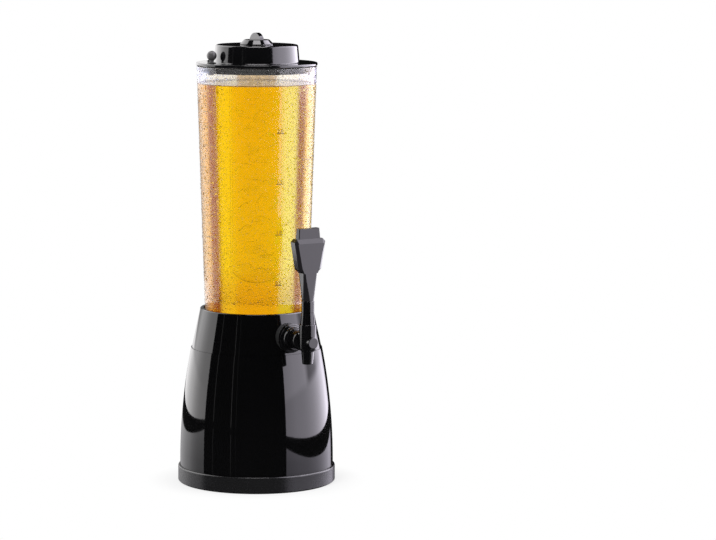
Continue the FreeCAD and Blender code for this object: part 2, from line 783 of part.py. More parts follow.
def knob_screw():
    body = new_body("knob_screw")
    washer_top = knob_foot - d.cap_web - d.seat_gap * 3
    head = d.spindle_radius + 1.6
    turned(body, [
        (0, washer_top - 1.8), (head - 0.8, washer_top - 1.8), (head, washer_top - 1.0), (head, washer_top),
        (d.screw_radius, washer_top), (d.screw_radius, washer_top + d.cap_web + 0.6),
        (0, washer_top + d.cap_web + 0.6),
    ])
    return body


# Tap
def upright(z_from_shank):
    return d.shank_height + z_from_shank


def tap_shank():
    """Threaded tube through both walls. Its own frame has the tap's upright axis at y = 0."""
    body = new_body("tap_shank", y=-d.tap_reach, z=d.shank_height)
    back = d.tap_reach - nut_seat + d.nut_thickness + 2
    front = d.shank_socket
    turned(body, [
        (front, d.shank_bore_radius), (back, d.shank_bore_radius), (back, d.shank_radius - 0.6),
        (back - 0.6, d.shank_radius), (front + 0.6, d.shank_radius), (front, d.shank_radius - 0.6),
    ], axis="H_Axis", plane="YZ_Plane")
    return body


def shank_nut():
    body = new_body("shank_nut", y=-nut_seat, z=d.shank_height)
    plan = outline(sketch_on(body, "XZ_Plane"), polygon(6, d.nut_half_flats))
    ring(plan, 0, 0, d.shank_radius + d.running_fit)
    feature(body, "Pad", plan, Length=d.nut_thickness, Reversed=True)
    corner = d.nut_half_flats / cosine(Size(30.0, "30"))
    trim = d.nut_half_flats * 0.1
    outer = corner + 3
    turned(body, [
        (d.nut_thickness, corner - trim), (d.nut_thickness - trim, corner), (d.nut_thickness - trim, outer),
        (d.nut_thickness + 1, outer), (d.nut_thickness + 1, corner - trim),
    ], axis="H_Axis", plane="YZ_Plane", cut=True)
    return body


def inner_washer():
    tube = shank_tube("inner_washer", d.washer_radius, d.shank_radius + d.running_fit, nut_seat,
                      tank_outer(d.shank_height) + 4)
    cone = wall_cone("inner_washer_trim", -d.open_gap, d.shank_height - 20, d.shank_height + 20, tank_inner)
    return boolean("Common", "inner_washer", tube, cone)


def wall_spacer():
    bore = d.shank_radius + d.running_fit
    tube = shank_tube("wall_spacer", d.washer_radius, bore, tank_inner(d.shank_height) - 8,
                      collar_outer(d.shank_height) + 8)
    low, high = d.shank_height - 16, d.shank_height + 16
    outer = wall_cone("wall_spacer_outer", -d.seat_gap * 2, low, high, collar_inner)
    inner = wall_cone("wall_spacer_inner", d.seat_gap * 2, low, high, tank_outer)
    return boolean("Cut", "wall_spacer", boolean("Common", "wall_spacer_front", tube, outer), inner)


def saddle_washer():
    tube = shank_tube("saddle_washer", d.bell_radius - 0.4, d.shank_radius + d.running_fit,
                      collar_inner(d.shank_height + 20) - 10, flange_back)
    cone = wall_cone("saddle_washer_trim", d.seat_gap * 2, d.shank_height - 17, d.shank_height + 17,
                     collar_outer)
    return boolean("Cut", "saddle_washer", tube, cone)


def tap_flange():
    """Bell-shaped wall flange with two stepped rims."""
    body = new_body("tap_flange", y=-d.tap_reach, z=d.shank_height)
    back, front = d.tap_reach - flange_back, d.tap_reach - bell_front
    bore = d.shank_radius + d.running_fit
    rim, step = d.bell_radius, d.bell_radius * 0.88
    length = d.bell_length
    turned(body, [
        (front, bore), (back, bore), (back, rim - 0.5), (back - 0.5, rim),
        (back - length * 0.24, rim, size(-1.0)), (back - length * 0.32, rim - 0.8),
        (back - length * 0.36, step), (back - length * 0.52, step, size(-1.2)),
        (back - length * 0.64, step - 1.2, length * 0.9), (front + 0.4, d.bell_front_radius),
        (front, d.bell_front_radius - 0.4),
    ], axis="H_Axis", plane="YZ_Plane")
    return body


def tap_body():
    """Barrel, upright body with its spout, and the round boss in front. The axes cross at its origin."""
    body = new_body("tap_body", y=-d.tap_reach, z=d.shank_height)
    foot, spout_end = -d.body_radius, -d.spout_drop
    turned(body, [
        (0, spout_end), (d.spout_end_radius - 0.4, spout_end), (d.spout_end_radius, spout_end + 0.4),
        (d.spout_top_radius, foot - 1.2, size(-1.4)), (d.spout_top_radius + 1, foot + 0.2),
        (d.body_radius, foot + 2.6), (d.body_radius, d.body_top - 0.7, size(0.7)),
        (d.body_radius - 0.7, d.body_top), (0, d.body_top),
    ], plane="YZ_Plane")
    barrel_back = d.tap_reach - bell_front - d.seat_gap
    barrel_front = d.body_radius * 0.75
    nose = d.barrel_radius * 0.55
    turned(body, [
        (0, 0), (barrel_back, 0), (barrel_back, d.barrel_radius - 1), (barrel_back - 1, d.barrel_radius),
        (barrel_front + nose, d.barrel_radius, size(nose * 1.12)),
        (barrel_front, d.barrel_radius - nose), (0, d.barrel_radius - nose),
    ], axis="H_Axis", plane="YZ_Plane")
    feature(body, "Pad", ring(sketch_on(body, "XZ_Plane"), 0, 0, d.plug_radius), Length=d.boss_reach)
    turned(body, [
        (0, spout_end - 1), (d.spout_bore_radius, spout_end - 1), (d.spout_bore_radius, foot + 2),
        (d.body_bore_radius, foot + 4), (d.body_bore_radius, d.body_top + 1), (0, d.body_top + 1),
    ], plane="YZ_Plane", cut=True)
    guide_front = d.seat_offset - d.guide_radius * 1.35
    socket = d.shank_radius + d.running_fit
    turned(body, [
        (-d.boss_reach - 1, 0), (barrel_back + 1, 0), (barrel_back + 1, socket),
        (d.shank_socket - d.seat_gap, socket), (d.shank_socket - d.seat_gap, d.shank_bore_radius),
        (d.seat_offset, d.shank_bore_radius), (d.seat_offset, d.guide_radius), (guide_front, d.guide_radius),
        (guide_front, d.cross_bore_radius), (-d.boss_reach - 1, d.cross_bore_radius),
    ], axis="H_Axis", plane="YZ_Plane", cut=True)
    return body


def front_plug():
    body = new_body("front_plug", y=-d.tap_reach, z=d.shank_height)
    seat = -(d.boss_reach + d.seat_gap)
    stem_end = -(d.body_bore_radius + d.open_gap)
    edge = d.plug_head * 0.5
    pin_hole = d.valve_radius * 0.6 + d.running_fit
    blind = seat + 0.6
    turned(body, [
        (seat - d.plug_head, 0), (seat - d.plug_head, d.plug_radius - edge, size(-edge)),
        (seat - d.plug_head + edge, d.plug_radius), (seat, d.plug_radius),
        (seat, d.cross_bore_radius - d.running_fit), (stem_end, d.cross_bore_radius - d.running_fit),
        (stem_end, pin_hole), (blind, pin_hole), (blind, 0),
    ], axis="H_Axis", plane="YZ_Plane")
    return body


bonnet_seat = upright(d.body_top) + d.seat_gap
socket_radius = d.ball_radius + d.seat_gap


def swing_clearance(rise):
    """How far from the upright axis the stem reaches at that height above the pivot, fully tilted."""
    swing = d.lever_swing_angle
    return rise * tangent(swing) + d.stem_radius / cosine(swing) + d.open_gap


def bonnet():
    """Cap that holds the lever's ball. Its top is a dome about the ball's centre."""
    body = new_body("bonnet", y=-d.tap_reach)
    thread = d.body_bore_radius - d.running_fit
    thread_foot = pivot_height - d.ball_radius * 2.1
    top = bonnet_seat + d.bonnet_height
    dome = root(d.bonnet_top_radius * d.bonnet_top_radius + (top - pivot_height) * (top - pivot_height))
    seat_radius = d.ball_radius * 0.77
    seat_top = leg(socket_radius, seat_radius)
    opening = swing_clearance(top - pivot_height)
    opening_top = pivot_height + leg(dome, opening)
    turned(body, [
        (socket_radius, thread_foot), (thread, thread_foot), (thread, bonnet_seat),
        (d.bonnet_foot_radius, bonnet_seat), (d.bonnet_foot_radius, bonnet_seat + 1.6),
        (d.bonnet_top_radius, top, dome), (opening, opening_top),
        (seat_radius, pivot_height + seat_top, -socket_radius), (socket_radius, pivot_height),
    ])
    return body


def ball_washer():
    """Ring pressed into the bonnet under the ball."""
    body = new_body("ball_washer", y=-d.tap_reach)
    foot = pivot_height - d.ball_radius * 1.85
    outer = socket_radius - d.running_fit
    inner = swing_clearance(d.ball_radius * 1.85) - d.stem_radius + d.finger_radius
    touch = outer - 1.5
    drop = leg(socket_radius, touch)
    turned(body, [
        (inner, foot), (outer, foot), (outer, pivot_height - 2.2),
        (leg(socket_radius, Size(2.2, "2.2")), pivot_height - 2.2, -socket_radius),
        (touch, pivot_height - drop),
    ])
    return body


# Lever, carried by its ball
def lever_stem():
    body = new_body("lever_stem", y=-d.tap_reach)
    ball, stem, finger = d.ball_radius, d.stem_radius, d.finger_radius
    thread = stem + 0.7
    nut_top = pivot_height + d.collar_nut_top
    thread_top = nut_top + d.collar_nut_top * 0.9
    tip_centre = d.shank_height
    turned(body, [
        (0, tip_centre - stem, stem), (finger, tip_centre + leg(stem, finger)),
        (finger, pivot_height - leg(ball, finger), ball), (stem, pivot_height + leg(ball, stem)),
        (stem, nut_top - 6.7), (thread, nut_top - 6.0),
        (thread, thread_top - 0.8), (thread - 0.8, thread_top), (0, thread_top),
    ])
    return body


def lever_collar():
    """Round nut under the handle, cupped to slide over the bonnet's dome."""
    body = new_body("lever_collar", y=-d.tap_reach)
    top = bonnet_seat + d.bonnet_height
    dome = root(d.bonnet_top_radius * d.bonnet_top_radius + (top - pivot_height) * (top - pivot_height))
    cup = dome + d.open_gap
    nut, bore = d.collar_nut_radius, d.stem_radius + 0.7 + d.running_fit
    nut_top = pivot_height + d.collar_nut_top
    turned(body, [
        (bore, pivot_height + leg(cup, bore), -cup), (nut, pivot_height + leg(cup, nut)),
        (nut, nut_top - 0.8, size(0.8)), (nut - 0.8, nut_top), (bore, nut_top),
    ])
    return body


def lever_handle():
    """Paddle: a round neck that flattens into a bevelled face, with a ridge and a block on top."""
    body = new_body("lever_handle", y=-d.tap_reach, z=pivot_height)
    foot = d.collar_nut_top + d.seat_gap
    depth, bevel = d.paddle_half_depth, d.paddle_bevel

    def loft(corner_lists, plane, offsets):
        sketches = [outline(sketch_on(body, plane, offset), corners)
                    for corners, offset in zip(corner_lists, offsets)]
        made = feature(body, "AdditiveLoft", sketches[0], Ruled=True)
        made.Sections = sketches[1:]
        return made

    loft([rounded_box(d.neck_radius, d.neck_radius, d.neck_radius - 0.15),
          rounded_box(d.neck_half_width, depth - bevel * 0.25, d.neck_corner)], "XY_Plane",
         [foot, d.neck_top + 1.5])

    def mirrored(half):
        return [(x, z) for x, z in half] + [(-x, z) for x, z in reversed(half)]

    outer = mirrored([(d.neck_half_width, d.neck_top), (d.shoulder_half_width, d.shoulder_rise),
                      (d.ridge_half_width, d.ridge_rise), (d.ridge_half_width - 3, d.paddle_top)])
    face_top = d.paddle_top - d.ridge_height
    face = mirrored([(d.neck_half_width - 0.2, d.neck_top),
                     (d.shoulder_half_width - d.face_margin, d.shoulder_rise + 1.2),
                     (d.face_half_width, face_top - 0.8), (d.face_half_width - 0.8, face_top)])
    loft([face, outer, outer, face], "XZ_Plane", [-depth, bevel - depth, depth - bevel, depth])
    block = d.block_half_width
    block_depth = depth - bevel - 0.4
    loft([rounded_box(block, block_depth, size(0.8)), rounded_box(block - 1, block_depth - 0.4, size(0.8))],
         "XY_Plane", [d.paddle_top - 0.5, d.lever_top])
    socket = ring(sketch_on(body, "XY_Plane", foot), 0, 0, d.stem_radius + 0.7 + d.running_fit)
    feature(body, "Pocket", socket, Length=d.collar_nut_top * 0.9 + d.seat_gap, Reversed=True)
    return body


# Valve: a rod that the lever's finger pushes back, away from its seat
def valve_shaft():
    body = new_body("valve_shaft", y=-d.tap_reach, z=d.shank_height)
    radius, neck = d.valve_radius, d.valve_radius * 0.5
    seat = d.seat_offset - d.seat_gap * 0.5
    wings_back = seat - 1.2
    wings_front = d.stem_radius + 1.8
    front = -(d.stem_radius + 2.4)
    pin_end = -(d.boss_reach - 0.8)
    pin = radius * 0.6
    turned(body, [
        (pin_end, 0), (seat + d.seal_thickness + 0.1, 0), (seat + d.seal_thickness + 0.1, neck),
        (wings_back, neck), (wings_front, neck), (wings_front, radius), (front, radius), (front, pin),
        (pin_end, pin),
    ], axis="H_Axis", plane="YZ_Plane")
    cross = sketch_on(body, "XZ_Plane", -wings_back)
    half = radius * 0.2
    tip = leg(radius, half)
    outline(cross, [
        (-tip, -half), (-half, -half), (-half, -tip), (half, -tip), (half, -half), (tip, -half),
        (tip, half), (half, half), (half, tip), (-half, tip), (-half, half), (-tip, half),
    ])
    feature(body, "Pad", cross, Length=wings_back - wings_front + 0.5)
    slot_width = d.stem_radius + 0.15
    slot_length = d.stem_radius + 0.2
    slot = sketch_on(body, "XY_Plane")
    outline(slot, rounded_box(slot_width, slot_length, size(0.6)))
    feature(body, "Pocket", slot, Type="ThroughAll", Midplane=True)
    return body


def valve_seal():
    body = new_body("valve_seal", y=-d.tap_reach, z=d.shank_height)
    seat = d.seat_offset + d.seat_gap * 0.5
    hole = d.valve_radius * 0.5 + d.running_fit
    turned(body, [
        (seat, hole), (seat + d.seal_thickness, hole), (seat + d.seal_thickness, d.seal_radius - 0.6),
        (seat + d.seal_thickness - 0.6, d.seal_radius), (seat, d.seal_radius),
    ], axis="H_Axis", plane="YZ_Plane")
    return body


def seal_cap():
    """Round nut that holds the seal on the shaft."""
    body = new_body("seal_cap", y=-d.tap_reach, z=d.shank_height)
    front = d.seat_offset + d.seat_gap + d.seal_thickness + 0.05
    back = front + 2.2
    turned(body, [(front, 0), (back, 0), (back, d.valve_radius * 0.7), (back - 0.7, d.valve_radius * 0.9),
                  (front, d.valve_radius * 0.9)], axis="H_Axis", plane="YZ_Plane")
    return body


MAKERS = [
    base_tray, grip_ring, lower_housing, upper_collar, tank, tank_pad, mouth_gasket,
    lid, lid_seal, ice_tube, ice_seal, vent_grommet, vent_plug, fill_cap, cap_seal, cap_knob, knob_screw,
    tap_shank, shank_nut, inner_washer, wall_spacer, saddle_washer, tap_flange, tap_body, front_plug,
    bonnet, ball_washer, lever_stem, lever_collar, lever_handle, valve_shaft, valve_seal, seal_cap,
]
pieces = [make() for make in MAKERS]
pieces.append(screws("tray_screws", skirt_screw_radius, d.tray_lift + d.screw_head_height + 1))
pieces.append(screws("collar_screws", collar_screw_radius,
                     shelf_bottom - d.screw_flange_thickness - d.seat_gap * 2))
doc.recompute()

broken = [thing.Name for thing in doc.Objects if {"Invalid", "Error"} & set(thing.State)]
broken += [piece.Label for piece in pieces if piece.Shape.isNull() or not piece.Shape.isValid()]
if broken:
    raise SystemExit(f"failed: {broken}")
os.makedirs("parts", exist_ok=True)
for piece in pieces:
    piece.Shape.exportStep(f"parts/{piece.Label}.step")
    print(f"{piece.Label:16} solids {len(piece.Shape.Solids)} volume {piece.Shape.Volume:11.1f} mm3")
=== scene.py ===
import bmesh
import bpy
import math
from mathutils import Matrix, Vector


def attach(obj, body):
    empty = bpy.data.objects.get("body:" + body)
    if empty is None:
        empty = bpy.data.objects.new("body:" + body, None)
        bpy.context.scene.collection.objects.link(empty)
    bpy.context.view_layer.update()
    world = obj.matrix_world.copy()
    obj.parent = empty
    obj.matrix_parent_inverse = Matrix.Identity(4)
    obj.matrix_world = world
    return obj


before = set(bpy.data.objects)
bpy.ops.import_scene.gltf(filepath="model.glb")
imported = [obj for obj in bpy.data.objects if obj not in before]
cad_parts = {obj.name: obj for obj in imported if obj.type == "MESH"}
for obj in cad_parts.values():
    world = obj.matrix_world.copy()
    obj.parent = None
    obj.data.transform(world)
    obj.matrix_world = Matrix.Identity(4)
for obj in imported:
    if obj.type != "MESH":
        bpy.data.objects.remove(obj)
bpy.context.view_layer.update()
scene = bpy.context.scene
mm = 0.001
print("frame loaded:", len(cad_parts), "nodes")

# The clear tank. The beer, the drops and the printed scale all follow its wall.
tankShape = {
    "footZ": 136.5 * mm,
    "footRadius": 52.5 * mm,
    "rimZ": 436.0 * mm,
    "rimRadius": 62.3 * mm,
    "wall": 2.6 * mm,
    "floorTop": 140.5 * mm,
    "liquidZ": 417.0 * mm,
}
viewAngle = math.radians(59)  # the way the camera looks, seen from above


def tankRadius(z):
    share = (z - tankShape["footZ"]) / (tankShape["rimZ"] - tankShape["footZ"])
    return tankShape["footRadius"] + (tankShape["rimRadius"] - tankShape["footRadius"]) * share


# Node helpers


def newMaterial(name):
    material = bpy.data.materials.new(name)
    material.use_nodes = True
    material.node_tree.nodes.clear()
    return material


def plug(tree, socket, value):
    if isinstance(value, bpy.types.NodeSocket):
        tree.links.new(value, socket)
    else:
        socket.default_value = value


def addNode(tree, kind, inputs=None, **settings):
    node = tree.nodes.new(kind)
    for key, value in settings.items():
        setattr(node, key, value)
    for key, value in (inputs or {}).items():
        plug(tree, node.inputs[key], value)
    return node


def maths(tree, operation, first, second=0.0):
    return addNode(tree, "ShaderNodeMath", {0: first, 1: second}, operation=operation).outputs[0]


def mapRange(tree, value, fromMin, fromMax, toMin, toMax, kind="SMOOTHSTEP"):
    node = addNode(tree, "ShaderNodeMapRange",
                   {"Value": value, "From Min": fromMin, "From Max": fromMax, "To Min": toMin, "To Max": toMax},
                   interpolation_type=kind)
    return node.outputs["Result"]


def objectPoint(tree, stretch=(1.0, 1.0, 1.0)):
    point = addNode(tree, "ShaderNodeTexCoord").outputs["Object"]
    if stretch == (1.0, 1.0, 1.0):
        return point
    return addNode(tree, "ShaderNodeMapping", {"Vector": point, "Scale": stretch}).outputs[0]


def noise(tree, point, scale, detail=3.0, roughness=0.5):
    return addNode(tree, "ShaderNodeTexNoise", {
        "Vector": point, "Scale": scale, "Detail": detail, "Roughness": roughness}).outputs["Fac"]


def mixShaders(tree, share, first, second):
    return addNode(tree, "ShaderNodeMixShader", {0: share, 1: first, 2: second}).outputs[0]


def heightOf(tree, point):
    return addNode(tree, "ShaderNodeSeparateXYZ", {0: point}).outputs[2]


def mixColours(tree, share, first, second):
    node = addNode(tree, "ShaderNodeMix", data_type="RGBA")
    for index, value in ((0, share), (6, first), (7, second)):
        plug(tree, node.inputs[index], value)
    return node.outputs[2]


def bump(tree, height, distance=1.0):
    return addNode(tree, "ShaderNodeBump", {"Height": height, "Distance": distance}).outputs["Normal"]


def finishMaterial(material, shader, volume=None):
    output = addNode(material.node_tree, "ShaderNodeOutputMaterial", {"Surface": shader})
    if volume is not None:
        plug(material.node_tree, output.inputs["Volume"], volume)
    return material


def azimuthOf(tree, point):
    # how far to the right of viewAngle the point lies, in turns from -0.5 to 0.5, and its height
    axes = addNode(tree, "ShaderNodeSeparateXYZ", {0: point})
    angle = maths(tree, "ARCTAN2", axes.outputs[1], axes.outputs[0])
    turned = maths(tree, "SUBTRACT", viewAngle, angle)
    wrapped = addNode(tree, "ShaderNodeMath", {0: turned, 1: math.pi, 2: -math.pi}, operation="WRAP").outputs[0]
    return maths(tree, "DIVIDE", wrapped, math.pi * 2), axes.outputs[2]


def ramp(tree, share, stops):
    # stops are (place, grey) or (place, (red, green, blue)), in rising order
    node = addNode(tree, "ShaderNodeValToRGB", {0: share})
    elements = node.color_ramp.elements
    while len(elements) < len(stops):
        elements.new(1.0)
    for element, (place, value) in zip(elements, stops):
        element.position = place
        element.color = (*value, 1.0) if isinstance(value, tuple) else (value, value, value, 1.0)
    return node.outputs[0]


# Finishes for the parts that come from the frame: wave and fine are the heights of their relief, in metres.
# In every look a noise is (scale per metre, detail, roughness), and a range is the part of a noise that is used.

plasticLooks = {
    "housing_gloss": {"colour": (0.0018, 0.0018, 0.002, 1), "roughness": 0.04, "wave": 0.00003, "fine": 0.0},
    "lid_gloss": {"colour": (0.0035, 0.0035, 0.004, 1), "roughness": 0.09, "wave": 0.00004, "fine": 0.000004},
    "tap_gloss": {"colour": (0.0022, 0.0022, 0.0025, 1), "roughness": 0.07, "wave": 0.00003, "fine": 0.0},
    "vent_plastic": {"colour": (0.075, 0.073, 0.075, 1), "roughness": 0.36, "wave": 0.00003, "fine": 0.000004},
    "lever_satin": {"colour": (0.012, 0.011, 0.0125, 1), "roughness": 0.13, "wave": 0.00002, "fine": 0.000008,
                    "specular": 0.36},
    "tray_satin": {"colour": (0.0075, 0.0075, 0.008, 1), "roughness": 0.26, "wave": 0.00003, "fine": 0.00002},
    "grip_rubber": {"colour": (0.016, 0.016, 0.016, 1), "roughness": 0.72, "wave": 0.0, "fine": 0.00004},
    "seal_rubber": {"colour": (0.03, 0.03, 0.03, 1), "roughness": 0.5, "wave": 0.0, "fine": 0.00002},
    "valve_white": {"colour": (0.80, 0.79, 0.75, 1), "roughness": 0.38, "wave": 0.0, "fine": 0.00001},
}

mouldedLook = {
    "ior": 1.5,
    "patchNoise": (28.0, 4.0, 0.6),
    "wearNoise": (11.0, 5.0, 0.65),
    "wearRange": (0.35, 0.75),
    "waveNoise": (34.0, 1.0),
    "grainNoise": (1900.0, 2.0),
    "shades": (0.8, 1.25),                # of the colour, from patch to patch
    "wear": (0.85, 1.3),                  # of the roughness
}


def mouldedPlastic(name, look):
    material = newMaterial(name)
    tree = material.node_tree
    point = objectPoint(tree)
    patches = noise(tree, point, *mouldedLook["patchNoise"])
    least, most = [look["roughness"] * share for share in mouldedLook["wear"]]
    worn = mapRange(tree, noise(tree, point, *mouldedLook["wearNoise"]), *mouldedLook["wearRange"], least, most)
    darker, lighter = [[part * share for part in look["colour"][:3]] + [1.0] for share in mouldedLook["shades"]]
    shader = addNode(tree, "ShaderNodeBsdfPrincipled", {
        "Base Color": mixColours(tree, patches, darker, lighter), "Roughness": worn,
        "IOR": mouldedLook["ior"], "Specular IOR Level": look.get("specular", 0.5)})
    height = maths(tree, "MULTIPLY", noise(tree, point, *mouldedLook["waveNoise"]), look["wave"])
    if look["fine"]:
        grain = maths(tree, "MULTIPLY", noise(tree, point, *mouldedLook["grainNoise"]), look["fine"])
        height = maths(tree, "ADD", height, grain)
    plug(tree, shader.inputs["Normal"], bump(tree, height))
    return finishMaterial(material, shader.outputs[0])


steelLook = {
    "ringNoise": (700.0, 2.0),
    "ringRange": (0.3, 0.7),
    "ringStretch": (1.0, 1.0, 9.0),
    "colours": ((0.50, 0.50, 0.52, 1), (0.66, 0.66, 0.67, 1)),
    "roughness": (0.22, 0.36),
    "relief": 0.00001,
}


def turnedSteel(name):
    material = newMaterial(name)
    tree = material.node_tree
    rings = noise(tree, objectPoint(tree, steelLook["ringStretch"]), *steelLook["ringNoise"])
    shader = addNode(tree, "ShaderNodeBsdfPrincipled", {
        "Base Color": mixColours(tree, rings, *steelLook["colours"]), "Metallic": 1.0,
        "Roughness": mapRange(tree, rings, *steelLook["ringRange"], *steelLook["roughness"])})
    plug(tree, shader.inputs["Normal"], bump(tree, rings, steelLook["relief"]))
    return finishMaterial(material, shader.outputs[0])


clearLook = {
    "ior": 1.49,
    "tints": ((0.985, 0.985, 0.99, 1), (1, 1, 1, 1)),
    "tintNoise": (30.0,),
    "skin": 0.0008,                       # how near to the outer radius a face counts as outside
    "wetMargin": 0.001,                   # how far above the liquid the inner face is wet
    "mist": (0.002, 0.26),                # share of the view that fine mist hides, square on and at the edges
    "mistFrom": 0.34,
    "mistTo": 0.95,
    "mistNoise": (340.0, 3.0),
    "mistRange": (0.3, 0.7),
    "mistPatches": (0.6, 1.3),
    "mistColour": (0.93, 0.90, 0.86, 1),
    "mistRoughness": 0.6,
    "wave": 0.00006,
    "waveNoise": (60.0, 2.0),
    "beadsPerMetre": (760.0, 1500.0),
    "beadSize": 0.42,
    "beadRise": 0.09,
    "leastBead": 0.25,
    "fineShift": 0.37,                    # keeps the fine beads apart from the coarse ones
    "beadsFrom": (0.180, 0.188),          # heights between which the beads begin
    "footLens": (0.194, 0.187),           # heights between which the foot starts to act as a lens
    "footTilt": 0.45,
    "paintedWarmthFrom": (0.235, 0.195),           # painted warm glow: the plastic's tint turns warmer towards the foot, standing in for warm light in the beer's lowest band
    "paintedWarmthTint": (0.87, 0.74, 0.96, 1),
}


def beadRelief(tree, point, perMetre, shift):
    # low domes of many sizes, standing for beads too small to be pieces of their own
    moved = addNode(tree, "ShaderNodeVectorMath", {0: point, 1: (shift, shift * 2, 0)}).outputs[0]
    cells = addNode(tree, "ShaderNodeTexVoronoi", {"Vector": moved, "Scale": perMetre})
    chance = addNode(tree, "ShaderNodeSeparateColor", {0: cells.outputs["Color"]}).outputs[0]
    reach = maths(tree, "MULTIPLY", maths(tree, "ADD", chance, clearLook["leastBead"]), clearLook["beadSize"])
    inside = maths(tree, "SUBTRACT", maths(tree, "MULTIPLY", reach, reach),
                   maths(tree, "MULTIPLY", cells.outputs["Distance"], cells.outputs["Distance"]))
    dome = maths(tree, "SQRT", maths(tree, "MAXIMUM", inside, 0.0))
    return maths(tree, "MULTIPLY", dome, clearLook["beadRise"] / perMetre)


def clearTank():
    # polished clear plastic, with fine beads and a breath of mist outside; inside, where beer touches it,
    # it mirrors nothing
    material = newMaterial("clearTank")
    tree = material.node_tree
    point = objectPoint(tree)
    axes = addNode(tree, "ShaderNodeSeparateXYZ", {0: point})
    across = addNode(tree, "ShaderNodeVectorMath", {0: addNode(tree, "ShaderNodeCombineXYZ", {
        0: axes.outputs[0], 1: axes.outputs[1]}).outputs[0]}, operation="LENGTH").outputs["Value"]
    slope = (tankShape["rimRadius"] - tankShape["footRadius"]) / (tankShape["rimZ"] - tankShape["footZ"])
    wallLine = maths(tree, "ADD", maths(tree, "MULTIPLY", axes.outputs[2], slope),
                     tankShape["footRadius"] - slope * tankShape["footZ"] - clearLook["skin"])
    outside = maths(tree, "GREATER_THAN", across, wallLine)
    beaded = maths(tree, "MULTIPLY", outside, mapRange(tree, axes.outputs[2], *clearLook["beadsFrom"], 0.0, 1.0))
    tint = mixColours(tree, noise(tree, point, *clearLook["tintNoise"]), *clearLook["tints"])
    # painted warm glow: a warmer tint towards the foot stands in for light, not for coloured plastic
    paintedWarmth = mapRange(tree, axes.outputs[2], *clearLook["paintedWarmthFrom"], 0.0, 1.0)
    shader = addNode(tree, "ShaderNodeBsdfPrincipled", {
        "Base Color": mixColours(tree, paintedWarmth, tint, clearLook["paintedWarmthTint"]),
        "Roughness": 0.0, "IOR": clearLook["ior"], "Transmission Weight": 1.0})
    coarse, fine = clearLook["beadsPerMetre"]
    relief = maths(tree, "MAXIMUM", beadRelief(tree, point, coarse, 0.0),
                   beadRelief(tree, point, fine, clearLook["fineShift"]))
    waves = maths(tree, "MULTIPLY", noise(tree, point, *clearLook["waveNoise"]), clearLook["wave"])
    height = maths(tree, "ADD", maths(tree, "MULTIPLY", relief, beaded), waves)
    face = addNode(tree, "ShaderNodeNewGeometry")
    entering = maths(tree, "MULTIPLY", outside, maths(tree, "SUBTRACT", 1.0, face.outputs["Backfacing"]))
    lens = maths(tree, "MULTIPLY", entering, mapRange(tree, axes.outputs[2], *clearLook["footLens"], 0.0, 1.0))
    lean = addNode(tree, "ShaderNodeCombineXYZ", {2: maths(tree, "MULTIPLY", lens, -clearLook["footTilt"])})
    tilted = addNode(tree, "ShaderNodeVectorMath", {
        0: face.outputs["Normal"], 1: lean.outputs[0]}, operation="ADD")
    straight = addNode(tree, "ShaderNodeVectorMath", {0: tilted.outputs[0]}, operation="NORMALIZE").outputs[0]
    relieved = addNode(tree, "ShaderNodeBump", {"Height": height, "Distance": 1.0, "Normal": straight})
    plug(tree, shader.inputs["Normal"], relieved.outputs[0])
    facing = addNode(tree, "ShaderNodeLayerWeight", {"Blend": 0.5}).outputs["Facing"]
    edge = mapRange(tree, facing, clearLook["mistFrom"], clearLook["mistTo"], *clearLook["mist"])
    patches = mapRange(tree, noise(tree, point, *clearLook["mistNoise"]), *clearLook["mistRange"],
                       *clearLook["mistPatches"])
    mist = maths(tree, "MULTIPLY", edge, maths(tree, "MULTIPLY", outside, patches))
    veil = addNode(tree, "ShaderNodeBsdfPrincipled", {
        "Base Color": clearLook["mistColour"], "Roughness": clearLook["mistRoughness"]})
    wetLevel = maths(tree, "LESS_THAN", axes.outputs[2], tankShape["liquidZ"] + clearLook["wetMargin"])
    wet = maths(tree, "MULTIPLY", wetLevel, maths(tree, "SUBTRACT", 1.0, outside))
    touching = addNode(tree, "ShaderNodeBsdfRefraction", {"Roughness": 0.0, "IOR": clearLook["ior"]})
    clear = mixShaders(tree, wet, shader.outputs[0], touching.outputs[0])
    return finishMaterial(material, mixShaders(tree, mist, clear, veil.outputs[0]))


frostLook = {
    "ior": 1.013,                         # against the beer around it, not against air
    "colours": ((0.93, 0.93, 0.94, 1), (1, 1, 1, 1)),
    "roughness": (0.025, 0.08),
    "frostNoise": (95.0, 5.0, 0.62),
    "frostRange": (0.35, 0.65),
    "frostStretch": (1.0, 1.0, 0.55),
    "crystalNoise": (520.0, 3.0, 0.6),
    "haze": 0.01,
    "hazeRange": (0.45, 0.72),
    "lumps": 0.00015,                     # heights of the two reliefs
    "crystals": 0.00008,
    "neckFade": (-0.001, 0.002),          # heights over the liquid between which the neck's look begins
    "neckHaze": (0.0, 0.22),              # share of frost on the part above the beer, from thin to thick
    "neckRange": (0.4, 0.6),
    "neckColour": (1.0, 0.72, 0.46, 1),
    "neckTint": (1.0, 0.90, 0.77, 1),     # the film of beer that the part above the liquid keeps
}


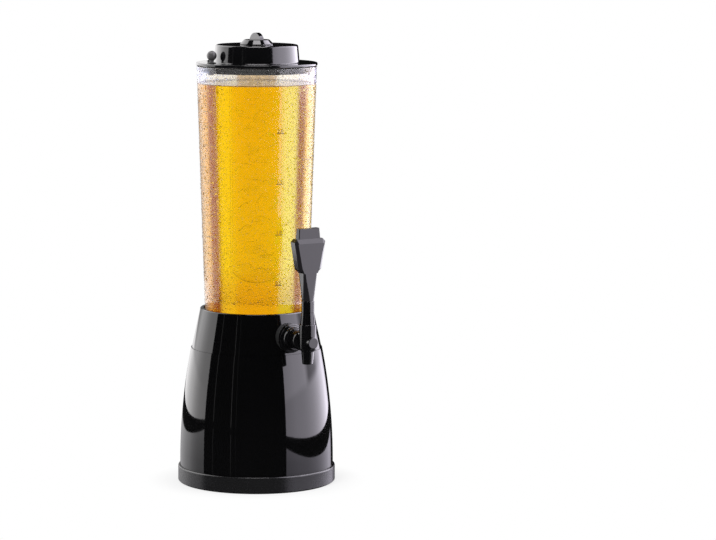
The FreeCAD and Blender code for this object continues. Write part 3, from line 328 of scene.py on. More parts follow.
def frostedTube():
    # clear plastic dulled by frost, which is patchy and thicker in places
    material = newMaterial("frostedTube")
    tree = material.node_tree
    point = objectPoint(tree)
    frost = noise(tree, objectPoint(tree, frostLook["frostStretch"]), *frostLook["frostNoise"])
    crystals = noise(tree, point, *frostLook["crystalNoise"])
    start, full = [tankShape["liquidZ"] + rise for rise in frostLook["neckFade"]]
    neck = mapRange(tree, heightOf(tree, point), start, full, 0.0, 1.0)
    cold = mixColours(tree, frost, *frostLook["colours"])
    shader = addNode(tree, "ShaderNodeBsdfPrincipled", {
        "Base Color": mixColours(tree, neck, cold, frostLook["neckTint"]),
        "Roughness": mapRange(tree, frost, *frostLook["frostRange"], *frostLook["roughness"]),
        "IOR": frostLook["ior"], "Transmission Weight": 1.0})
    relief = maths(tree, "ADD", maths(tree, "MULTIPLY", frost, frostLook["lumps"]),
                   maths(tree, "MULTIPLY", crystals, frostLook["crystals"]))
    plug(tree, shader.inputs["Normal"], bump(tree, relief))
    haze = addNode(tree, "ShaderNodeBsdfTranslucent", {"Color": frostLook["neckColour"]})
    thin = mapRange(tree, crystals, *frostLook["hazeRange"], 0.0, frostLook["haze"])
    thick = mapRange(tree, crystals, *frostLook["neckRange"], *frostLook["neckHaze"])
    share = maths(tree, "ADD", thin, maths(tree, "MULTIPLY", neck, thick))
    return finishMaterial(material, mixShaders(tree, share, shader.outputs[0], haze.outputs[0]))


finishes = {slot: mouldedPlastic(slot, look) for slot, look in plasticLooks.items()}
finishes["screw_steel"] = turnedSteel("screw_steel")
finishes["clear_plastic"] = clearTank()
finishes["frosted_plastic"] = frostedTube()
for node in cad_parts.values():
    for slot in node.material_slots:
        slot.material = finishes[slot.material.name.split(".")[0]]
print("finishes on the frame's nodes done")

# Pieces


def ringOf(mesh, radius, z, steps):
    return [mesh.verts.new((radius * math.cos(2 * math.pi * k / steps),
                            radius * math.sin(2 * math.pi * k / steps), z)) for k in range(steps)]


def lathe(name, profile, steps, material):
    # turns (radius, height) points about the part's axis; a radius of 0 closes with one point
    mesh = bmesh.new()
    rings = [ringOf(mesh, radius, z, steps) if radius else [mesh.verts.new((0, 0, z))] for radius, z in profile]
    for lower, upper in zip(rings, rings[1:]):
        for k in range(steps):
            after = (k + 1) % steps
            corners = [lower[k % len(lower)], lower[after % len(lower)], upper[after % len(upper)],
                       upper[k % len(upper)]]
            mesh.faces.new(list(dict.fromkeys(corners)))
    bmesh.ops.recalc_face_normals(mesh, faces=mesh.faces)
    return keepMesh(name, mesh, material)


def meshFrom(name, mesh):
    data = bpy.data.meshes.new(name)
    mesh.to_mesh(data)
    mesh.free()
    return data


def keepMesh(name, mesh, material, smooth=True):
    data = meshFrom(name, mesh)
    for face in data.polygons:
        face.use_smooth = smooth
    piece = bpy.data.objects.new(name, data)
    scene.collection.objects.link(piece)
    data.materials.append(material)
    return piece


beerLook = {
    "ior": 1.34,
    "density": 60.0,                      # per metre
    "colour": (0.9935, 0.905, 0.10, 1),
    "tints": ((1.0, 0.985, 0.95, 1), (1, 1, 1, 1)),
    "tintNoise": (22.0,),
    "ripple": 0.00002,
    "rippleNoise": (70.0, 2.0),
    "openTop": 0.0005,                    # how far under the liquid's level its open top begins
    "wallOverlap": 0.15 * mm,             # the beer wets the wall, so it reaches a little into it
    "corner": 3.5 * mm,
    "cornerSteps": 6,
    "rows": 24,
    "steps": 160,
    "brim": 0.5 * mm,                     # two close rows under the edge keep it sharp
    "brimRow": 0.7,
    "meniscus": 1.1 * mm,
    "meniscusReach": 3.2 * mm,
    "meniscusPower": 2.2,
    "meniscusSteps": 5,
    "topRings": (0.8, 0.6, 0.42, 0.2),    # shares of the radius
}


def beerMaterial():
    material = newMaterial("lagerBeer")
    tree = material.node_tree
    point = objectPoint(tree)
    shader = addNode(tree, "ShaderNodeBsdfPrincipled", {
        "Base Color": mixColours(tree, noise(tree, point, *beerLook["tintNoise"]), *beerLook["tints"]),
        "Roughness": 0.0, "IOR": beerLook["ior"], "Transmission Weight": 1.0})
    ripples = noise(tree, point, *beerLook["rippleNoise"])
    plug(tree, shader.inputs["Normal"], bump(tree, ripples, beerLook["ripple"]))
    # where the beer touches the tank, nothing is mirrored; only its open top shines
    isTop = maths(tree, "GREATER_THAN", heightOf(tree, point), tankShape["liquidZ"] - beerLook["openTop"])
    touching = addNode(tree, "ShaderNodeBsdfRefraction", {"Roughness": 0.0, "IOR": beerLook["ior"]})
    surface = mixShaders(tree, isTop, touching.outputs[0], shader.outputs[0])
    volume = addNode(tree, "ShaderNodeVolumeAbsorption", {
        "Color": beerLook["colour"], "Density": beerLook["density"]})
    return finishMaterial(material, surface, volume.outputs[0])


def makeBeer():
    overlap, top, corner = beerLook["wallOverlap"], tankShape["liquidZ"], beerLook["corner"]
    floor = tankShape["floorTop"] - overlap

    def inner(z):
        return tankRadius(z) - tankShape["wall"] + overlap

    profile = [(0, floor), (inner(floor) - corner, floor)]
    for k in range(1, beerLook["cornerSteps"] + 1):
        turn = math.radians(90 * k / beerLook["cornerSteps"])
        profile.append((inner(floor) - corner * (1 - math.sin(turn)), floor + corner * (1 - math.cos(turn))))
    wallTop = top + beerLook["meniscus"]
    brim = wallTop - beerLook["brim"]
    for k in range(1, beerLook["rows"] + 1):
        z = floor + corner + (brim - floor - corner) * k / beerLook["rows"]
        profile.append((inner(z), z))
    profile += [(inner(brim), brim + beerLook["brimRow"] * beerLook["brim"]), (inner(brim), wallTop)]
    steps = beerLook["meniscusSteps"]
    for k in range(1, steps + 1):
        fall = (1 - k / steps) ** beerLook["meniscusPower"]
        profile.append((inner(top) - beerLook["meniscusReach"] * k / steps, top + beerLook["meniscus"] * fall))
    profile += [(inner(top) * share, top) for share in beerLook["topRings"]] + [(0, top)]
    beer = lathe("beer", profile, beerLook["steps"], beerMaterial())
    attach(beer, "tower")


makeBeer()
print("beer poured")

# Trees that place repeated pieces


def geometryTree(name):
    tree = bpy.data.node_groups.new(name, "GeometryNodeTree")
    tree.interface.new_socket("Geometry", in_out="INPUT", socket_type="NodeSocketGeometry")
    tree.interface.new_socket("Geometry", in_out="OUTPUT", socket_type="NodeSocketGeometry")
    return tree


def treeInput(tree, name, kind):
    return tree.interface.new_socket(name, in_out="INPUT", socket_type=kind).identifier


def finishTree(tree, geometry, material):
    smooth = addNode(tree, "GeometryNodeSetShadeSmooth", {0: geometry})
    dressed = addNode(tree, "GeometryNodeSetMaterial", {0: smooth.outputs[0], "Material": material})
    addNode(tree, "NodeGroupOutput", {0: dressed.outputs[0]})


def randomValue(tree, seed, least, most):
    return addNode(tree, "FunctionNodeRandomValue", {"Seed": seed, 2: least, 3: most}, data_type="FLOAT").outputs[1]


def runTree(name, startMesh, tree, values, body):
    # evaluates the tree on a start mesh and keeps the result as a plain mesh that rides on a body
    maker = bpy.data.objects.new(name + "Maker", startMesh)
    scene.collection.objects.link(maker)
    modifier = maker.modifiers.new("repeat", "NODES")
    modifier.node_group = tree
    for identifier, value in values.items():
        modifier[identifier] = value
    bpy.context.view_layer.update()
    result = bpy.data.meshes.new_from_object(maker.evaluated_get(bpy.context.evaluated_depsgraph_get()))
    result.name = name
    bpy.data.objects.remove(maker)
    piece = bpy.data.objects.new(name, result)
    scene.collection.objects.link(piece)
    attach(piece, body)
    print(name, "has", len(result.polygons), "faces")


def joinRings(mesh, lower, upper):
    for k in range(len(lower)):
        after = (k + 1) % len(lower)
        mesh.faces.new((lower[k], lower[after], upper[after], upper[k]))


def wallBand(name, radiusAt, bottom, top, steps=96, rows=30):
    mesh = bmesh.new()
    heights = [bottom + (top - bottom) * row / rows for row in range(rows + 1)]
    rings = [ringOf(mesh, radiusAt(z), z, steps) for z in heights]
    for lower, upper in zip(rings, rings[1:]):
        joinRings(mesh, lower, upper)
    return meshFrom(name, mesh)


def dropShape(name, sides, rings, height, sunk):
    # a closed drop of radius 1 on the plane z = 0, with its flat base a little under it
    mesh = bmesh.new()
    ring = ringOf(mesh, 1.0, -sunk, sides)
    mesh.faces.new(list(reversed(ring)))
    for edge in mesh.edges:
        edge.smooth = False  # the rim stays sharp, so the dome's own slope reaches it
    for reach, rise in rings:
        upper = ringOf(mesh, reach, height * rise, sides)
        joinRings(mesh, ring, upper)
        ring = upper
    tip = mesh.verts.new((0, 0, height))
    for k in range(sides):
        mesh.faces.new((ring[k], ring[(k + 1) % sides], tip))
    return bpy.data.objects.new(name, meshFrom(name, mesh))


waterLook = {
    "ior": 1.33,
    "tints": ((0.97, 0.97, 0.98, 1), (1, 1, 1, 1)),
    "tintNoise": (200.0,),
    "bending": 0.7,                       # a small bead hardly glints, so most of it only bends the light
}


def waterMaterial():
    material = newMaterial("condensedWater")
    tree = material.node_tree
    patches = noise(tree, objectPoint(tree), *waterLook["tintNoise"])
    shader = addNode(tree, "ShaderNodeBsdfPrincipled", {
        "Base Color": mixColours(tree, patches, *waterLook["tints"]),
        "Roughness": 0.0, "IOR": waterLook["ior"], "Transmission Weight": 1.0})
    bending = addNode(tree, "ShaderNodeBsdfRefraction", {"Roughness": 0.0, "IOR": waterLook["ior"]})
    return finishMaterial(material, mixShaders(tree, waterLook["bending"], shader.outputs[0], bending.outputs[0]))


dropInputs = {
    "density": "Density", "spacing": "Spacing", "small": "Smallest", "large": "Largest", "power": "Size power",
    "seed": "Seed", "stretch": "Run", "dryShare": "Share above the liquid",
}
dropSettings = {
    # points per square metre before spacing, distances and radii in metres
    "condensationFine": {"density": 190000.0, "spacing": 0.0019, "small": 0.00030, "large": 0.00055, "power": 1.2,
                         "seed": 5, "stretch": 0.1, "dryShare": 0.8},
    "condensationBeads": {"density": 85000.0, "spacing": 0.0024, "small": 0.00050, "large": 0.00092, "power": 1.9,
                          "seed": 23, "stretch": 0.2, "dryShare": 0.7},
    "condensationDrops": {"density": 4500.0, "spacing": 0.0065, "small": 0.0009, "large": 0.0014, "power": 2.2,
                          "seed": 31, "stretch": 0.45, "dryShare": 0.6},
}
dropShapes = {
    # rings are (share of the radius, share of the height)
    "condensationFine": {"sides": 5, "rings": [(0.78, 0.44)], "height": 0.25, "sunk": 0.08},
    "condensationBeads": {"sides": 6, "rings": [(0.80, 0.42)], "height": 0.28, "sunk": 0.06},
    "condensationDrops": {"sides": 10, "rings": [(0.96, 0.22), (0.82, 0.55), (0.52, 0.86)], "height": 0.36,
                          "sunk": 0.05},
}
dropPlace = {"bottom": 0.1845, "top": 0.4345, "sunk": 0.00001, "dryOver": 4 * mm, "runSeed": 77}


def scatterTree(shape, material):
    # spreads the shape over faces at random, turned to their normals, with random sizes
    tree = geometryTree("scatterDrops")
    ids = {key: treeInput(tree, name, "NodeSocketInt" if key == "seed" else "NodeSocketFloat")
           for key, name in dropInputs.items()}
    entry = addNode(tree, "NodeGroupInput")
    height = heightOf(tree, addNode(tree, "GeometryNodeInputPosition").outputs[0])
    wetness = addNode(tree, "ShaderNodeMapRange", {
        "Value": height, "From Min": tankShape["liquidZ"], "From Max": tankShape["liquidZ"] + dropPlace["dryOver"],
        "To Min": 1.0, "To Max": entry.outputs["Share above the liquid"]}).outputs["Result"]
    spread = addNode(tree, "GeometryNodeDistributePointsOnFaces", {
        "Mesh": entry.outputs[0], "Distance Min": entry.outputs["Spacing"],
        "Density Max": entry.outputs["Density"], "Density Factor": wetness,
        "Seed": entry.outputs["Seed"]}, distribute_method="POISSON")
    chance = randomValue(tree, entry.outputs["Seed"], 0.0, 1.0)
    curved = maths(tree, "POWER", chance, entry.outputs["Size power"])
    size = addNode(tree, "ShaderNodeMapRange", {
        "Value": curved, "To Min": entry.outputs["Smallest"], "To Max": entry.outputs["Largest"]}).outputs["Result"]
    longer = randomValue(tree, dropPlace["runSeed"], 1.0, maths(tree, "ADD", entry.outputs["Run"], 1.0))
    sizes = addNode(tree, "ShaderNodeCombineXYZ", {
        0: size, 1: maths(tree, "MULTIPLY", size, longer), 2: size}).outputs[0]
    drop = addNode(tree, "GeometryNodeObjectInfo", {"Object": shape})
    placed = addNode(tree, "GeometryNodeInstanceOnPoints", {
        "Points": spread.outputs["Points"], "Instance": drop.outputs["Geometry"],
        "Rotation": spread.outputs["Rotation"], "Scale": sizes})
    finishTree(tree, addNode(tree, "GeometryNodeRealizeInstances", {0: placed.outputs[0]}).outputs[0], material)
    return tree, ids


def outerWall(z):
    return tankRadius(z) - dropPlace["sunk"]


def makeCondensation():
    water = waterMaterial()
    band = wallBand("outerBand", outerWall, dropPlace["bottom"], dropPlace["top"])
    for name, settings in dropSettings.items():
        tree, ids = scatterTree(dropShape(name + "Shape", **dropShapes[name]), water)
        runTree(name, band.copy(), tree, {ids[key]: value for key, value in settings.items()}, "tower")


makeCondensation()
print("condensation made")

iceLook = {
    "pieces": 30,
    "size": 14.0 * mm,
    "sizeShares": (0.8, 1.12),
    "bottom": 217 * mm,
    "top": 446 * mm,
    "reach": 0.0085,                      # how far the pieces stand from the axis
    "turn": 2.4,                          # radians from one piece to the next
    "turnSpread": 0.7,
    "spin": (6.2, 6.2, 6.2),              # most that a piece is turned about each axis, in radians
    "lumpScale": 140.0,
    "lumps": 0.0045,
    "seeds": {"turn": 4, "spin": 9, "size": 12},
    "ior": 1.011,                         # against the beer around it, not against air
    "colour": (0.97, 0.98, 0.98, 1),
    "roughness": (0.02, 0.14),
    "cracks": 0.00025,
    "crackNoise": (260.0, 6.0, 0.7),
    "crackRange": (0.4, 0.7),
    "cloud": 0.01,
    "cloudNoise": (150.0, 5.0, 0.65),
    "cloudRange": (0.56, 0.75),
    "cloudColour": (0.88, 0.86, 0.82, 1),
}


def iceMaterial():
    material = newMaterial("clearIce")
    tree = material.node_tree
    point = objectPoint(tree)
    cracks = noise(tree, point, *iceLook["crackNoise"])
    shader = addNode(tree, "ShaderNodeBsdfPrincipled", {
        "Base Color": iceLook["colour"], "IOR": iceLook["ior"], "Transmission Weight": 1.0,
        "Roughness": mapRange(tree, cracks, *iceLook["crackRange"], *iceLook["roughness"])})
    plug(tree, shader.inputs["Normal"], bump(tree, cracks, iceLook["cracks"]))
    cloud = addNode(tree, "ShaderNodeBsdfPrincipled", {"Base Color": iceLook["cloudColour"], "Roughness": 0.8})
    share = mapRange(tree, noise(tree, point, *iceLook["cloudNoise"]), *iceLook["cloudRange"], 0.0, iceLook["cloud"])
    return finishMaterial(material, mixShaders(tree, share, shader.outputs[0], cloud.outputs[0]))


def makeIce():
    # worn cubes stacked in the tube, each turned its own way
    tree = geometryTree("stackIce")
    seeds = iceLook["seeds"]
    values = {
        treeInput(tree, "Pieces", "NodeSocketInt"): iceLook["pieces"],
        treeInput(tree, "Cube size", "NodeSocketFloat"): iceLook["size"],
        treeInput(tree, "Seed", "NodeSocketInt"): seeds["turn"],
        treeInput(tree, "Reach from axis", "NodeSocketFloat"): iceLook["reach"],
    }
    entry = addNode(tree, "NodeGroupInput")
    reach, side = entry.outputs["Reach from axis"], entry.outputs["Cube size"]
    line = addNode(tree, "GeometryNodeMeshLine", {
        "Count": entry.outputs["Pieces"], "Start Location": (0, 0, iceLook["bottom"]),
        "Offset": (0, 0, iceLook["top"])}, mode="END_POINTS")
    turn = randomValue(tree, entry.outputs["Seed"], 0.0, iceLook["turnSpread"])
    index = addNode(tree, "GeometryNodeInputIndex").outputs[0]
    angle = maths(tree, "ADD", maths(tree, "MULTIPLY", index, iceLook["turn"]), turn)
    shift = addNode(tree, "ShaderNodeCombineXYZ", {
        0: maths(tree, "MULTIPLY", maths(tree, "COSINE", angle), reach),
        1: maths(tree, "MULTIPLY", maths(tree, "SINE", angle), reach)})
    moved = addNode(tree, "GeometryNodeSetPosition", {"Geometry": line.outputs[0], "Offset": shift.outputs[0]})
    cube = addNode(tree, "GeometryNodeMeshCube", {
        "Size": addNode(tree, "ShaderNodeCombineXYZ", {0: side, 1: side, 2: side}).outputs[0],
        "Vertices X": 3, "Vertices Y": 3, "Vertices Z": 3})
    soft = addNode(tree, "GeometryNodeSubdivisionSurface", {"Mesh": cube.outputs[0], "Level": 2})
    spin = addNode(tree, "FunctionNodeRandomValue", {"Seed": seeds["spin"], 0: (0, 0, 0), 1: iceLook["spin"]},
                   data_type="FLOAT_VECTOR")
    placed = addNode(tree, "GeometryNodeInstanceOnPoints", {
        "Points": moved.outputs[0], "Instance": soft.outputs[0], "Rotation": spin.outputs[0],
        "Scale": randomValue(tree, seeds["size"], *iceLook["sizeShares"])})
    real = addNode(tree, "GeometryNodeRealizeInstances", {0: placed.outputs[0]})
    rough = addNode(tree, "ShaderNodeTexNoise", {"Scale": iceLook["lumpScale"], "Detail": 2.0})
    lump = addNode(tree, "ShaderNodeVectorMath", {0: rough.outputs["Color"], 1: (0.5, 0.5, 0.5)},
                   operation="SUBTRACT")
    dent = addNode(tree, "ShaderNodeVectorMath", {0: lump.outputs[0], "Scale": iceLook["lumps"]}, operation="SCALE")
    worn = addNode(tree, "GeometryNodeSetPosition", {"Geometry": real.outputs[0], "Offset": dent.outputs[0]})
    finishTree(tree, worn.outputs[0], iceMaterial())
    runTree("iceCubes", bpy.data.meshes.new("iceStart"), tree, values, "lid")


makeIce()
print("ice stacked")

scaleLook = {
    "angle": math.radians(263.0),
    "marks": (("0.5", 212.0 * mm), ("1.0", 264.5 * mm), ("1.5", 317.0 * mm), ("2.0", 369.0 * mm)),  # litres
    "lineLength": 8.4 * mm,
    "lineHeight": 0.7 * mm,
    "lineSteps": 10,
    "textHeight": 3.9 * mm,
    "sizePerHeight": 1.35,                # a font's size is more than the height of its digits
    "textPlace": (-0.4 * mm, 1.2 * mm),
    "thickness": 0.05 * mm,
    "lift": 0.03 * mm,
    "inks": ((0.035, 0.012, 0.004, 1), (0.07, 0.028, 0.01, 1)),
    "inkNoise": (900.0, 3.0, 0.6),
}


def inkMaterial():
    material = newMaterial("scaleInk")
    tree = material.node_tree
    worn = noise(tree, objectPoint(tree), *scaleLook["inkNoise"])
    shader = addNode(tree, "ShaderNodeBsdfPrincipled", {
        "Base Color": mixColours(tree, worn, *scaleLook["inks"]), "Roughness": 0.45})
    return finishMaterial(material, shader.outputs[0])


def wrapOnTank(data):
    # before this the print is flat: x runs along the wall, y is the height, and z the lift off the wall
    for vertex in data.vertices:
        along, z, lift = vertex.co
        radius = tankRadius(z) + scaleLook["lift"] + lift
        angle = scaleLook["angle"] + along / tankRadius(z)
        vertex.co = (radius * math.cos(angle), radius * math.sin(angle), z)


def makeScale():
    mesh = bmesh.new()
    steps, tall = scaleLook["lineSteps"], scaleLook["lineHeight"]
    across, up = scaleLook["textPlace"]
    for words, z in scaleLook["marks"]:
        for k in range(steps):
            left = scaleLook["lineLength"] * (k / steps - 0.5)
            right = left + scaleLook["lineLength"] / steps
            corners = [mesh.verts.new((x, z + y, lift)) for lift in (0.0, scaleLook["thickness"])
                       for x, y in ((left, 0), (right, 0), (right, tall), (left, tall))]
            orders = [(3, 2, 1, 0), (4, 5, 6, 7), (0, 1, 5, 4), (2, 3, 7, 6)]
            if k == 0:
                orders.append((0, 4, 7, 3))
            if k == steps - 1:
                orders.append((1, 2, 6, 5))
            for order in orders:
                mesh.faces.new([corners[i] for i in order])
        text = bpy.data.curves.new("digits", "FONT")
        text.body = words
        text.size = scaleLook["textHeight"] * scaleLook["sizePerHeight"]
        text.align_x = "CENTER"
        text.extrude = scaleLook["thickness"] / 2
        holder = bpy.data.objects.new("digits", text)
        scene.collection.objects.link(holder)
        bpy.context.view_layer.update()
        flat = bpy.data.meshes.new_from_object(holder.evaluated_get(bpy.context.evaluated_depsgraph_get()))
        flat.transform(Matrix.Translation((across, z + up, scaleLook["thickness"] / 2)))
        mesh.from_mesh(flat)
        bpy.data.objects.remove(holder)
    bmesh.ops.remove_doubles(mesh, verts=mesh.verts, dist=0.000002)
    bmesh.ops.triangulate(mesh, faces=mesh.faces)
    piece = keepMesh("volumeScale", mesh, inkMaterial(), smooth=False)
    wrapOnTank(piece.data)
    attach(piece, "tower")


makeScale()
print("volume scale printed")

# The studio: white surroundings, a tall bright screen on each side, slim poles and a pale polished table

studio = {
    "camera": (-1.692, -2.815, 0.639),
    "lens": 159.38,
    "sensor": 36.0,
    "clip": (0.1, 50.0),
    "pitch": math.radians(7.23),
    "aim": math.radians(1.854),
    "roll": math.radians(0.26),
    "ambient": 0.55,
}


def emissive(material, strength, colour=(1, 1, 1, 1)):
    shader = addNode(material.node_tree, "ShaderNodeEmission", {"Color": colour, "Strength": strength})
    return finishMaterial(material, shader.outputs[0])


def stageLight(name, mesh, material):
    screen = keepMesh(name, mesh, material)
    screen.visible_camera = screen.visible_diffuse = screen.visible_transmission = False
    screen.visible_shadow = False
    return screen


def uprightFace(mesh, angle, distance, along, heights):
    # a face that looks at the part from this angle, which runs to the right of the camera's own place
    turn = viewAngle + math.pi + math.radians(angle)
    out, side = Vector((math.cos(turn), math.sin(turn), 0)), Vector((-math.sin(turn), math.cos(turn), 0))
    (left, right), (low, high) = along, heights
    corners = [out * distance + side * reach + Vector((0, 0, z))
               for reach, z in ((left, low), (right, low), (right, high), (left, high))]
    return mesh.faces.new([mesh.verts.new(corner) for corner in corners])


screens = {
    # along is how far a screen reaches to each side; strength is its light by the angle, waist a factor on it
    # between the heights of the waist, and topShare one above them
    "rightScreen": {
        "angle": 99.0, "distance": 0.39, "along": (-0.578, 0.39), "heights": (0.020, 1.15),
        "colour": (0.975, 0.925, 1.05, 1), "topShare": 1.55,
        "strength": [(43, 2.6), (60, 3.3), (75, 3.4), (90, 3.8), (103, 4.4), (115, 5.0), (132, 5.0), (144, 2.6)],
        "waist": [(43, 1.25), (80, 1.25), (88, 0.4), (105, 0.4), (114, 0.7), (150, 0.8)]},
    "leftScreen": {
        "angle": -142.0, "distance": 0.60, "along": (-0.39, 0.96), "heights": (0.020, 1.35),
        "colour": (1.0, 0.985, 0.99, 1), "topShare": 1.2,
        "strength": [(-175, 1.0), (-163, 1.1), (-152, 2.1), (-135, 2.8), (-117, 3.2), (-107, 2.7), (-97, 2.3),
                     (-84, 2.3)],
        "waist": [(-175, 0.25), (-148, 0.3), (-130, 0.75), (-84, 1.0)]},
}
screenHeights = {"waistFrom": (0.112, 0.135), "waistTo": (0.345, 0.385), "topFrom": 0.36, "topFull": 0.42}
rampMost = 10.0  # a ramp holds shares of this


def rampPlace(angle):
    # where an angle to the right of the camera's place lies on a ramp over the whole turn
    wrapped = (360.0 - angle) % 360.0 - 180.0
    return 0.5 + wrapped / 360.0


def rampByAngle(tree, share, pairs):
    stops = sorted((rampPlace(angle), value / rampMost) for angle, value in pairs)
    return maths(tree, "MULTIPLY", ramp(tree, share, stops), rampMost)


def uprightScreen(name, look):
    mesh = bmesh.new()
    uprightFace(mesh, look["angle"], look["distance"], look["along"], look["heights"])
    material = newMaterial(name + "Light")
    tree = material.node_tree
    share, height = azimuthOf(tree, objectPoint(tree))
    place = maths(tree, "ADD", share, 0.5)
    around, waist = [rampByAngle(tree, place, look[key]) for key in ("strength", "waist")]
    window = maths(tree, "MULTIPLY", mapRange(tree, height, *screenHeights["waistFrom"], 0.0, 1.0),
                   mapRange(tree, height, *screenHeights["waistTo"], 1.0, 0.0))
    narrowed = maths(tree, "MULTIPLY", window, maths(tree, "SUBTRACT", waist, 1.0))
    rise = mapRange(tree, height, screenHeights["topFrom"], screenHeights["topFull"], 1.0, look["topShare"], "LINEAR")
    level = maths(tree, "MULTIPLY", around, maths(tree, "ADD", narrowed, 1.0))
    stageLight(name, mesh, emissive(material, maths(tree, "MULTIPLY", level, rise), look["colour"]))


for screenName, screenLook in screens.items():
    uprightScreen(screenName, screenLook)


poles = {
    # slim stands at the edge of the studio: angle, distance, width and strength of each
    "stands": ((-38.6, 1.5, 0.010, 1.1), (-68.0, 1.5, 0.028, 0.35), (-31.0, 1.5, 0.007, 0.35)),
    "heights": (0.02, 1.3),
}


def makePoles():
    mesh = bmesh.new()
    materials = []
    for index, (angle, distance, width, strength) in enumerate(poles["stands"]):
        face = uprightFace(mesh, angle, distance, (-width / 2, width / 2), poles["heights"])
        face.material_index = index
        materials.append(emissive(newMaterial("poleLight"), strength))
    screen = stageLight("poles", mesh, materials[0])
    for material in materials[1:]:
        screen.data.materials.append(material)


makePoles()

overhead = {"reach": 0.24, "nearer": 0.12, "height": 1.35, "strength": 8.0, "colour": (1.0, 0.97, 1.0, 1)}


def overheadScreen():
    mesh = bmesh.new()
    bmesh.ops.create_grid(mesh, x_segments=1, y_segments=1, size=overhead["reach"])
    bmesh.ops.rotate(mesh, verts=mesh.verts, matrix=Matrix.Rotation(viewAngle, 3, "Z"))
    way = Vector((math.cos(viewAngle), math.sin(viewAngle), 0))
    bmesh.ops.translate(mesh, verts=mesh.verts, vec=way * -overhead["nearer"] + Vector((0, 0, overhead["height"])))
    light = emissive(newMaterial("overheadLight"), overhead["strength"], overhead["colour"])
    stageLight("overheadScreen", mesh, light)


overheadScreen()

floorLook = {
    "radius": 1.35,
    "steps": 96,
    "colour": (0.93, 0.93, 0.935, 1),
    "shade": 0.28,                        # share of the shaded table under the part; further out it is plain white
    "shadeReach": (0.078, 0.120),
    "polish": (0.95, 0.95, 0.97, 1),
    "roughness": 0.03,
    "ior": 1.5,
    "mirrored": 0.03,                     # strength in the images that glossy parts show of it
    "seenThrough": 0.45,                  # strength behind the beer
}


def makeFloor():
    mesh = bmesh.new()
    bmesh.ops.create_circle(mesh, cap_ends=True, segments=floorLook["steps"], radius=floorLook["radius"])
    material = newMaterial("paleTable")
    tree = material.node_tree

    def plainLight(strength):
        return addNode(tree, "ShaderNodeEmission", {"Color": (1, 1, 1, 1), "Strength": strength}).outputs[0]

    away = addNode(tree, "ShaderNodeVectorMath", {0: objectPoint(tree)}, operation="LENGTH").outputs["Value"]
    plain = addNode(tree, "ShaderNodeBsdfDiffuse", {"Color": floorLook["colour"]})
    fade = mapRange(tree, away, *floorLook["shadeReach"], floorLook["shade"], 0.0)
    seen = mixShaders(tree, fade, plainLight(1.0), plain.outputs[0])
    polish = addNode(tree, "ShaderNodeBsdfGlossy", {
        "Color": floorLook["polish"], "Roughness": floorLook["roughness"]})
    gloss = addNode(tree, "ShaderNodeFresnel", {"IOR": floorLook["ior"]}).outputs[0]
    mirrored = mixShaders(tree, gloss, plainLight(floorLook["mirrored"]), polish.outputs[0])
    rays = addNode(tree, "ShaderNodeLightPath").outputs
    # a ray that is bent on its way through the beer counts as glossy too
    other = mixShaders(tree, rays["Is Transmission Ray"], mirrored, plainLight(floorLook["seenThrough"]))
    finishMaterial(material, mixShaders(tree, rays["Is Glossy Ray"], seen, other))
    floor = keepMesh("floor", mesh, material, smooth=False)


makeFloor()

surroundings = {
    # what clear things show of the room behind them, by the angle to the right of straight ahead
    "most": 2.5,
    "seenThrough": [
        (-180, (0.90, 0.90, 0.88)), (-112, (0.80, 0.80, 0.78)), (-78, (0.38, 0.34, 0.32)), (-66, (1.34, 1.45, 2.05)),
        (-42, (1.32, 1.38, 1.90)), (-38, (1.10, 1.00, 1.05)), (-33, (0.30, 0.08, 0.14)), (-26.5, (0.30, 0.08, 0.14)),
        (-23.5, (0.88, 1.22, 2.25)), (-14, (0.88, 1.24, 2.25)), (-11, (1.03, 0.95, 0.80)), (10, (1.03, 0.93, 0.72)),
        (13, (1.12, 1.22, 2.40)), (22, (1.12, 1.22, 2.40)), (25, (0.30, 0.06, 0.05)), (33, (0.30, 0.06, 0.05)),
        (37, (0.93, 0.67, 0.29)), (66, (0.88, 0.66, 0.30)), (78, (0.38, 0.34, 0.32)), (112, (0.80, 0.80, 0.78)),
        (180, (0.90, 0.90, 0.88))],
    # the share that is left low down and high up, with the climbs of the view between which it changes
    "lowShare": 0.6,
    "lowClimb": (-0.50, -0.36),
    "highShare": 0.6,
    "highClimb": (0.22, 0.55),
    # strength of the walls in glossy parts, below and above
    "glow": (0.012, 0.004),
    "glowClimb": (-0.03, 0.05),
}


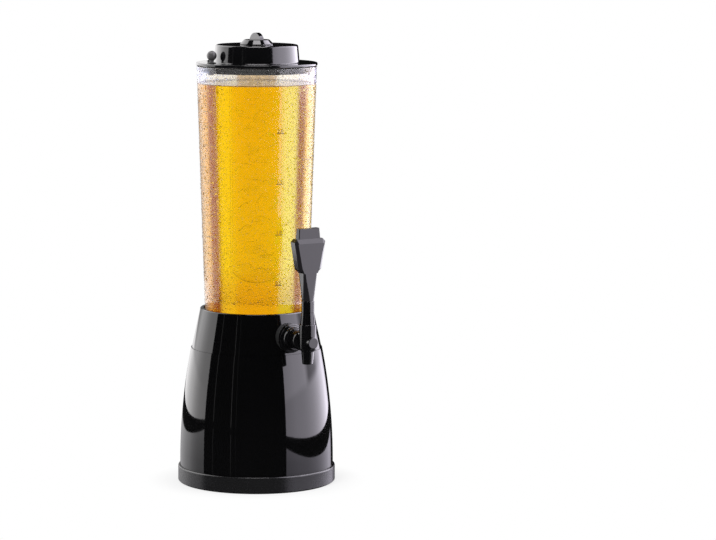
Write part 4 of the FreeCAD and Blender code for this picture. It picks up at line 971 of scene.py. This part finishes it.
def makeWorld():
    # plain white to the eye; through clear things the lit backdrop with its darker gaps; dim walls in gloss
    world = bpy.data.worlds.new("studioWorld")
    scene.world = world
    world.use_nodes = True
    tree = world.node_tree
    tree.nodes.clear()

    def background(strength, colour=(1, 1, 1, 1)):
        return addNode(tree, "ShaderNodeBackground", {"Color": colour, "Strength": strength}).outputs[0]

    share, climb = azimuthOf(tree, addNode(tree, "ShaderNodeTexCoord").outputs["Generated"])
    stops = [(0.5 + angle / 360.0, tuple(part / surroundings["most"] for part in colour))
             for angle, colour in surroundings["seenThrough"]]
    backdrop = ramp(tree, maths(tree, "ADD", share, 0.5), stops)
    low = mapRange(tree, climb, *surroundings["lowClimb"], surroundings["lowShare"], 1.0)
    high = mapRange(tree, climb, *surroundings["highClimb"], 1.0, surroundings["highShare"])
    through = maths(tree, "MULTIPLY", maths(tree, "MULTIPLY", low, high), surroundings["most"])
    glow = mapRange(tree, climb, *surroundings["glowClimb"], *surroundings["glow"])
    rays = addNode(tree, "ShaderNodeLightPath").outputs
    light = mixShaders(tree, rays["Is Glossy Ray"], background(studio["ambient"]), background(glow))
    light = mixShaders(tree, rays["Is Transmission Ray"], light, background(through, backdrop))
    light = mixShaders(tree, rays["Is Camera Ray"], light, background(1.0))
    addNode(tree, "ShaderNodeOutputWorld", {"Surface": light})


makeWorld()

lamps = {
    "keyLamp": {"place": (-1.9, -1.2, 1.9), "size": 1.4, "power": 42.0},
    "fillLamp": {"place": (1.5, -1.5, 1.2), "size": 1.2, "power": 16.0},
}
lampAim = (0, 0, 0.22)


def areaLamp(name, place, size, power):
    lamp = bpy.data.lights.new(name, "AREA")
    lamp.shape, lamp.size, lamp.energy = "DISK", size, power
    holder = bpy.data.objects.new(name, lamp)
    holder.location = place
    holder.rotation_mode = "QUATERNION"
    holder.rotation_quaternion = (Vector(lampAim) - Vector(place)).to_track_quat("-Z", "Y")
    holder.visible_glossy = holder.visible_transmission = holder.visible_camera = False
    scene.collection.objects.link(holder)


for lampName, settings in lamps.items():
    areaLamp(lampName, **settings)


def makeCamera():
    data = bpy.data.cameras.new("camera")
    data.lens, data.sensor_width = studio["lens"], studio["sensor"]
    data.clip_start, data.clip_end = studio["clip"]
    camera = bpy.data.objects.new("camera", data)
    camera.location = studio["camera"]
    heading, pitch = viewAngle - studio["aim"], studio["pitch"]
    look = Vector((math.cos(heading) * math.cos(pitch), math.sin(heading) * math.cos(pitch), -math.sin(pitch)))
    roll = Matrix.Rotation(studio["roll"], 4, "Z").to_quaternion()
    camera.rotation_mode = "QUATERNION"
    camera.rotation_quaternion = look.to_track_quat("-Z", "Y") @ roll
    scene.collection.objects.link(camera)
    scene.camera = camera


makeCamera()
scene.view_settings.view_transform = "Standard"
scene.cycles.denoising_prefilter = "NONE"  # keeps the small drops crisp
scene.cycles.max_bounces = 48
scene.cycles.transmission_bounces = 48
scene.cycles.glossy_bounces = 8
scene.cycles.transparent_max_bounces = 16
print("studio set")
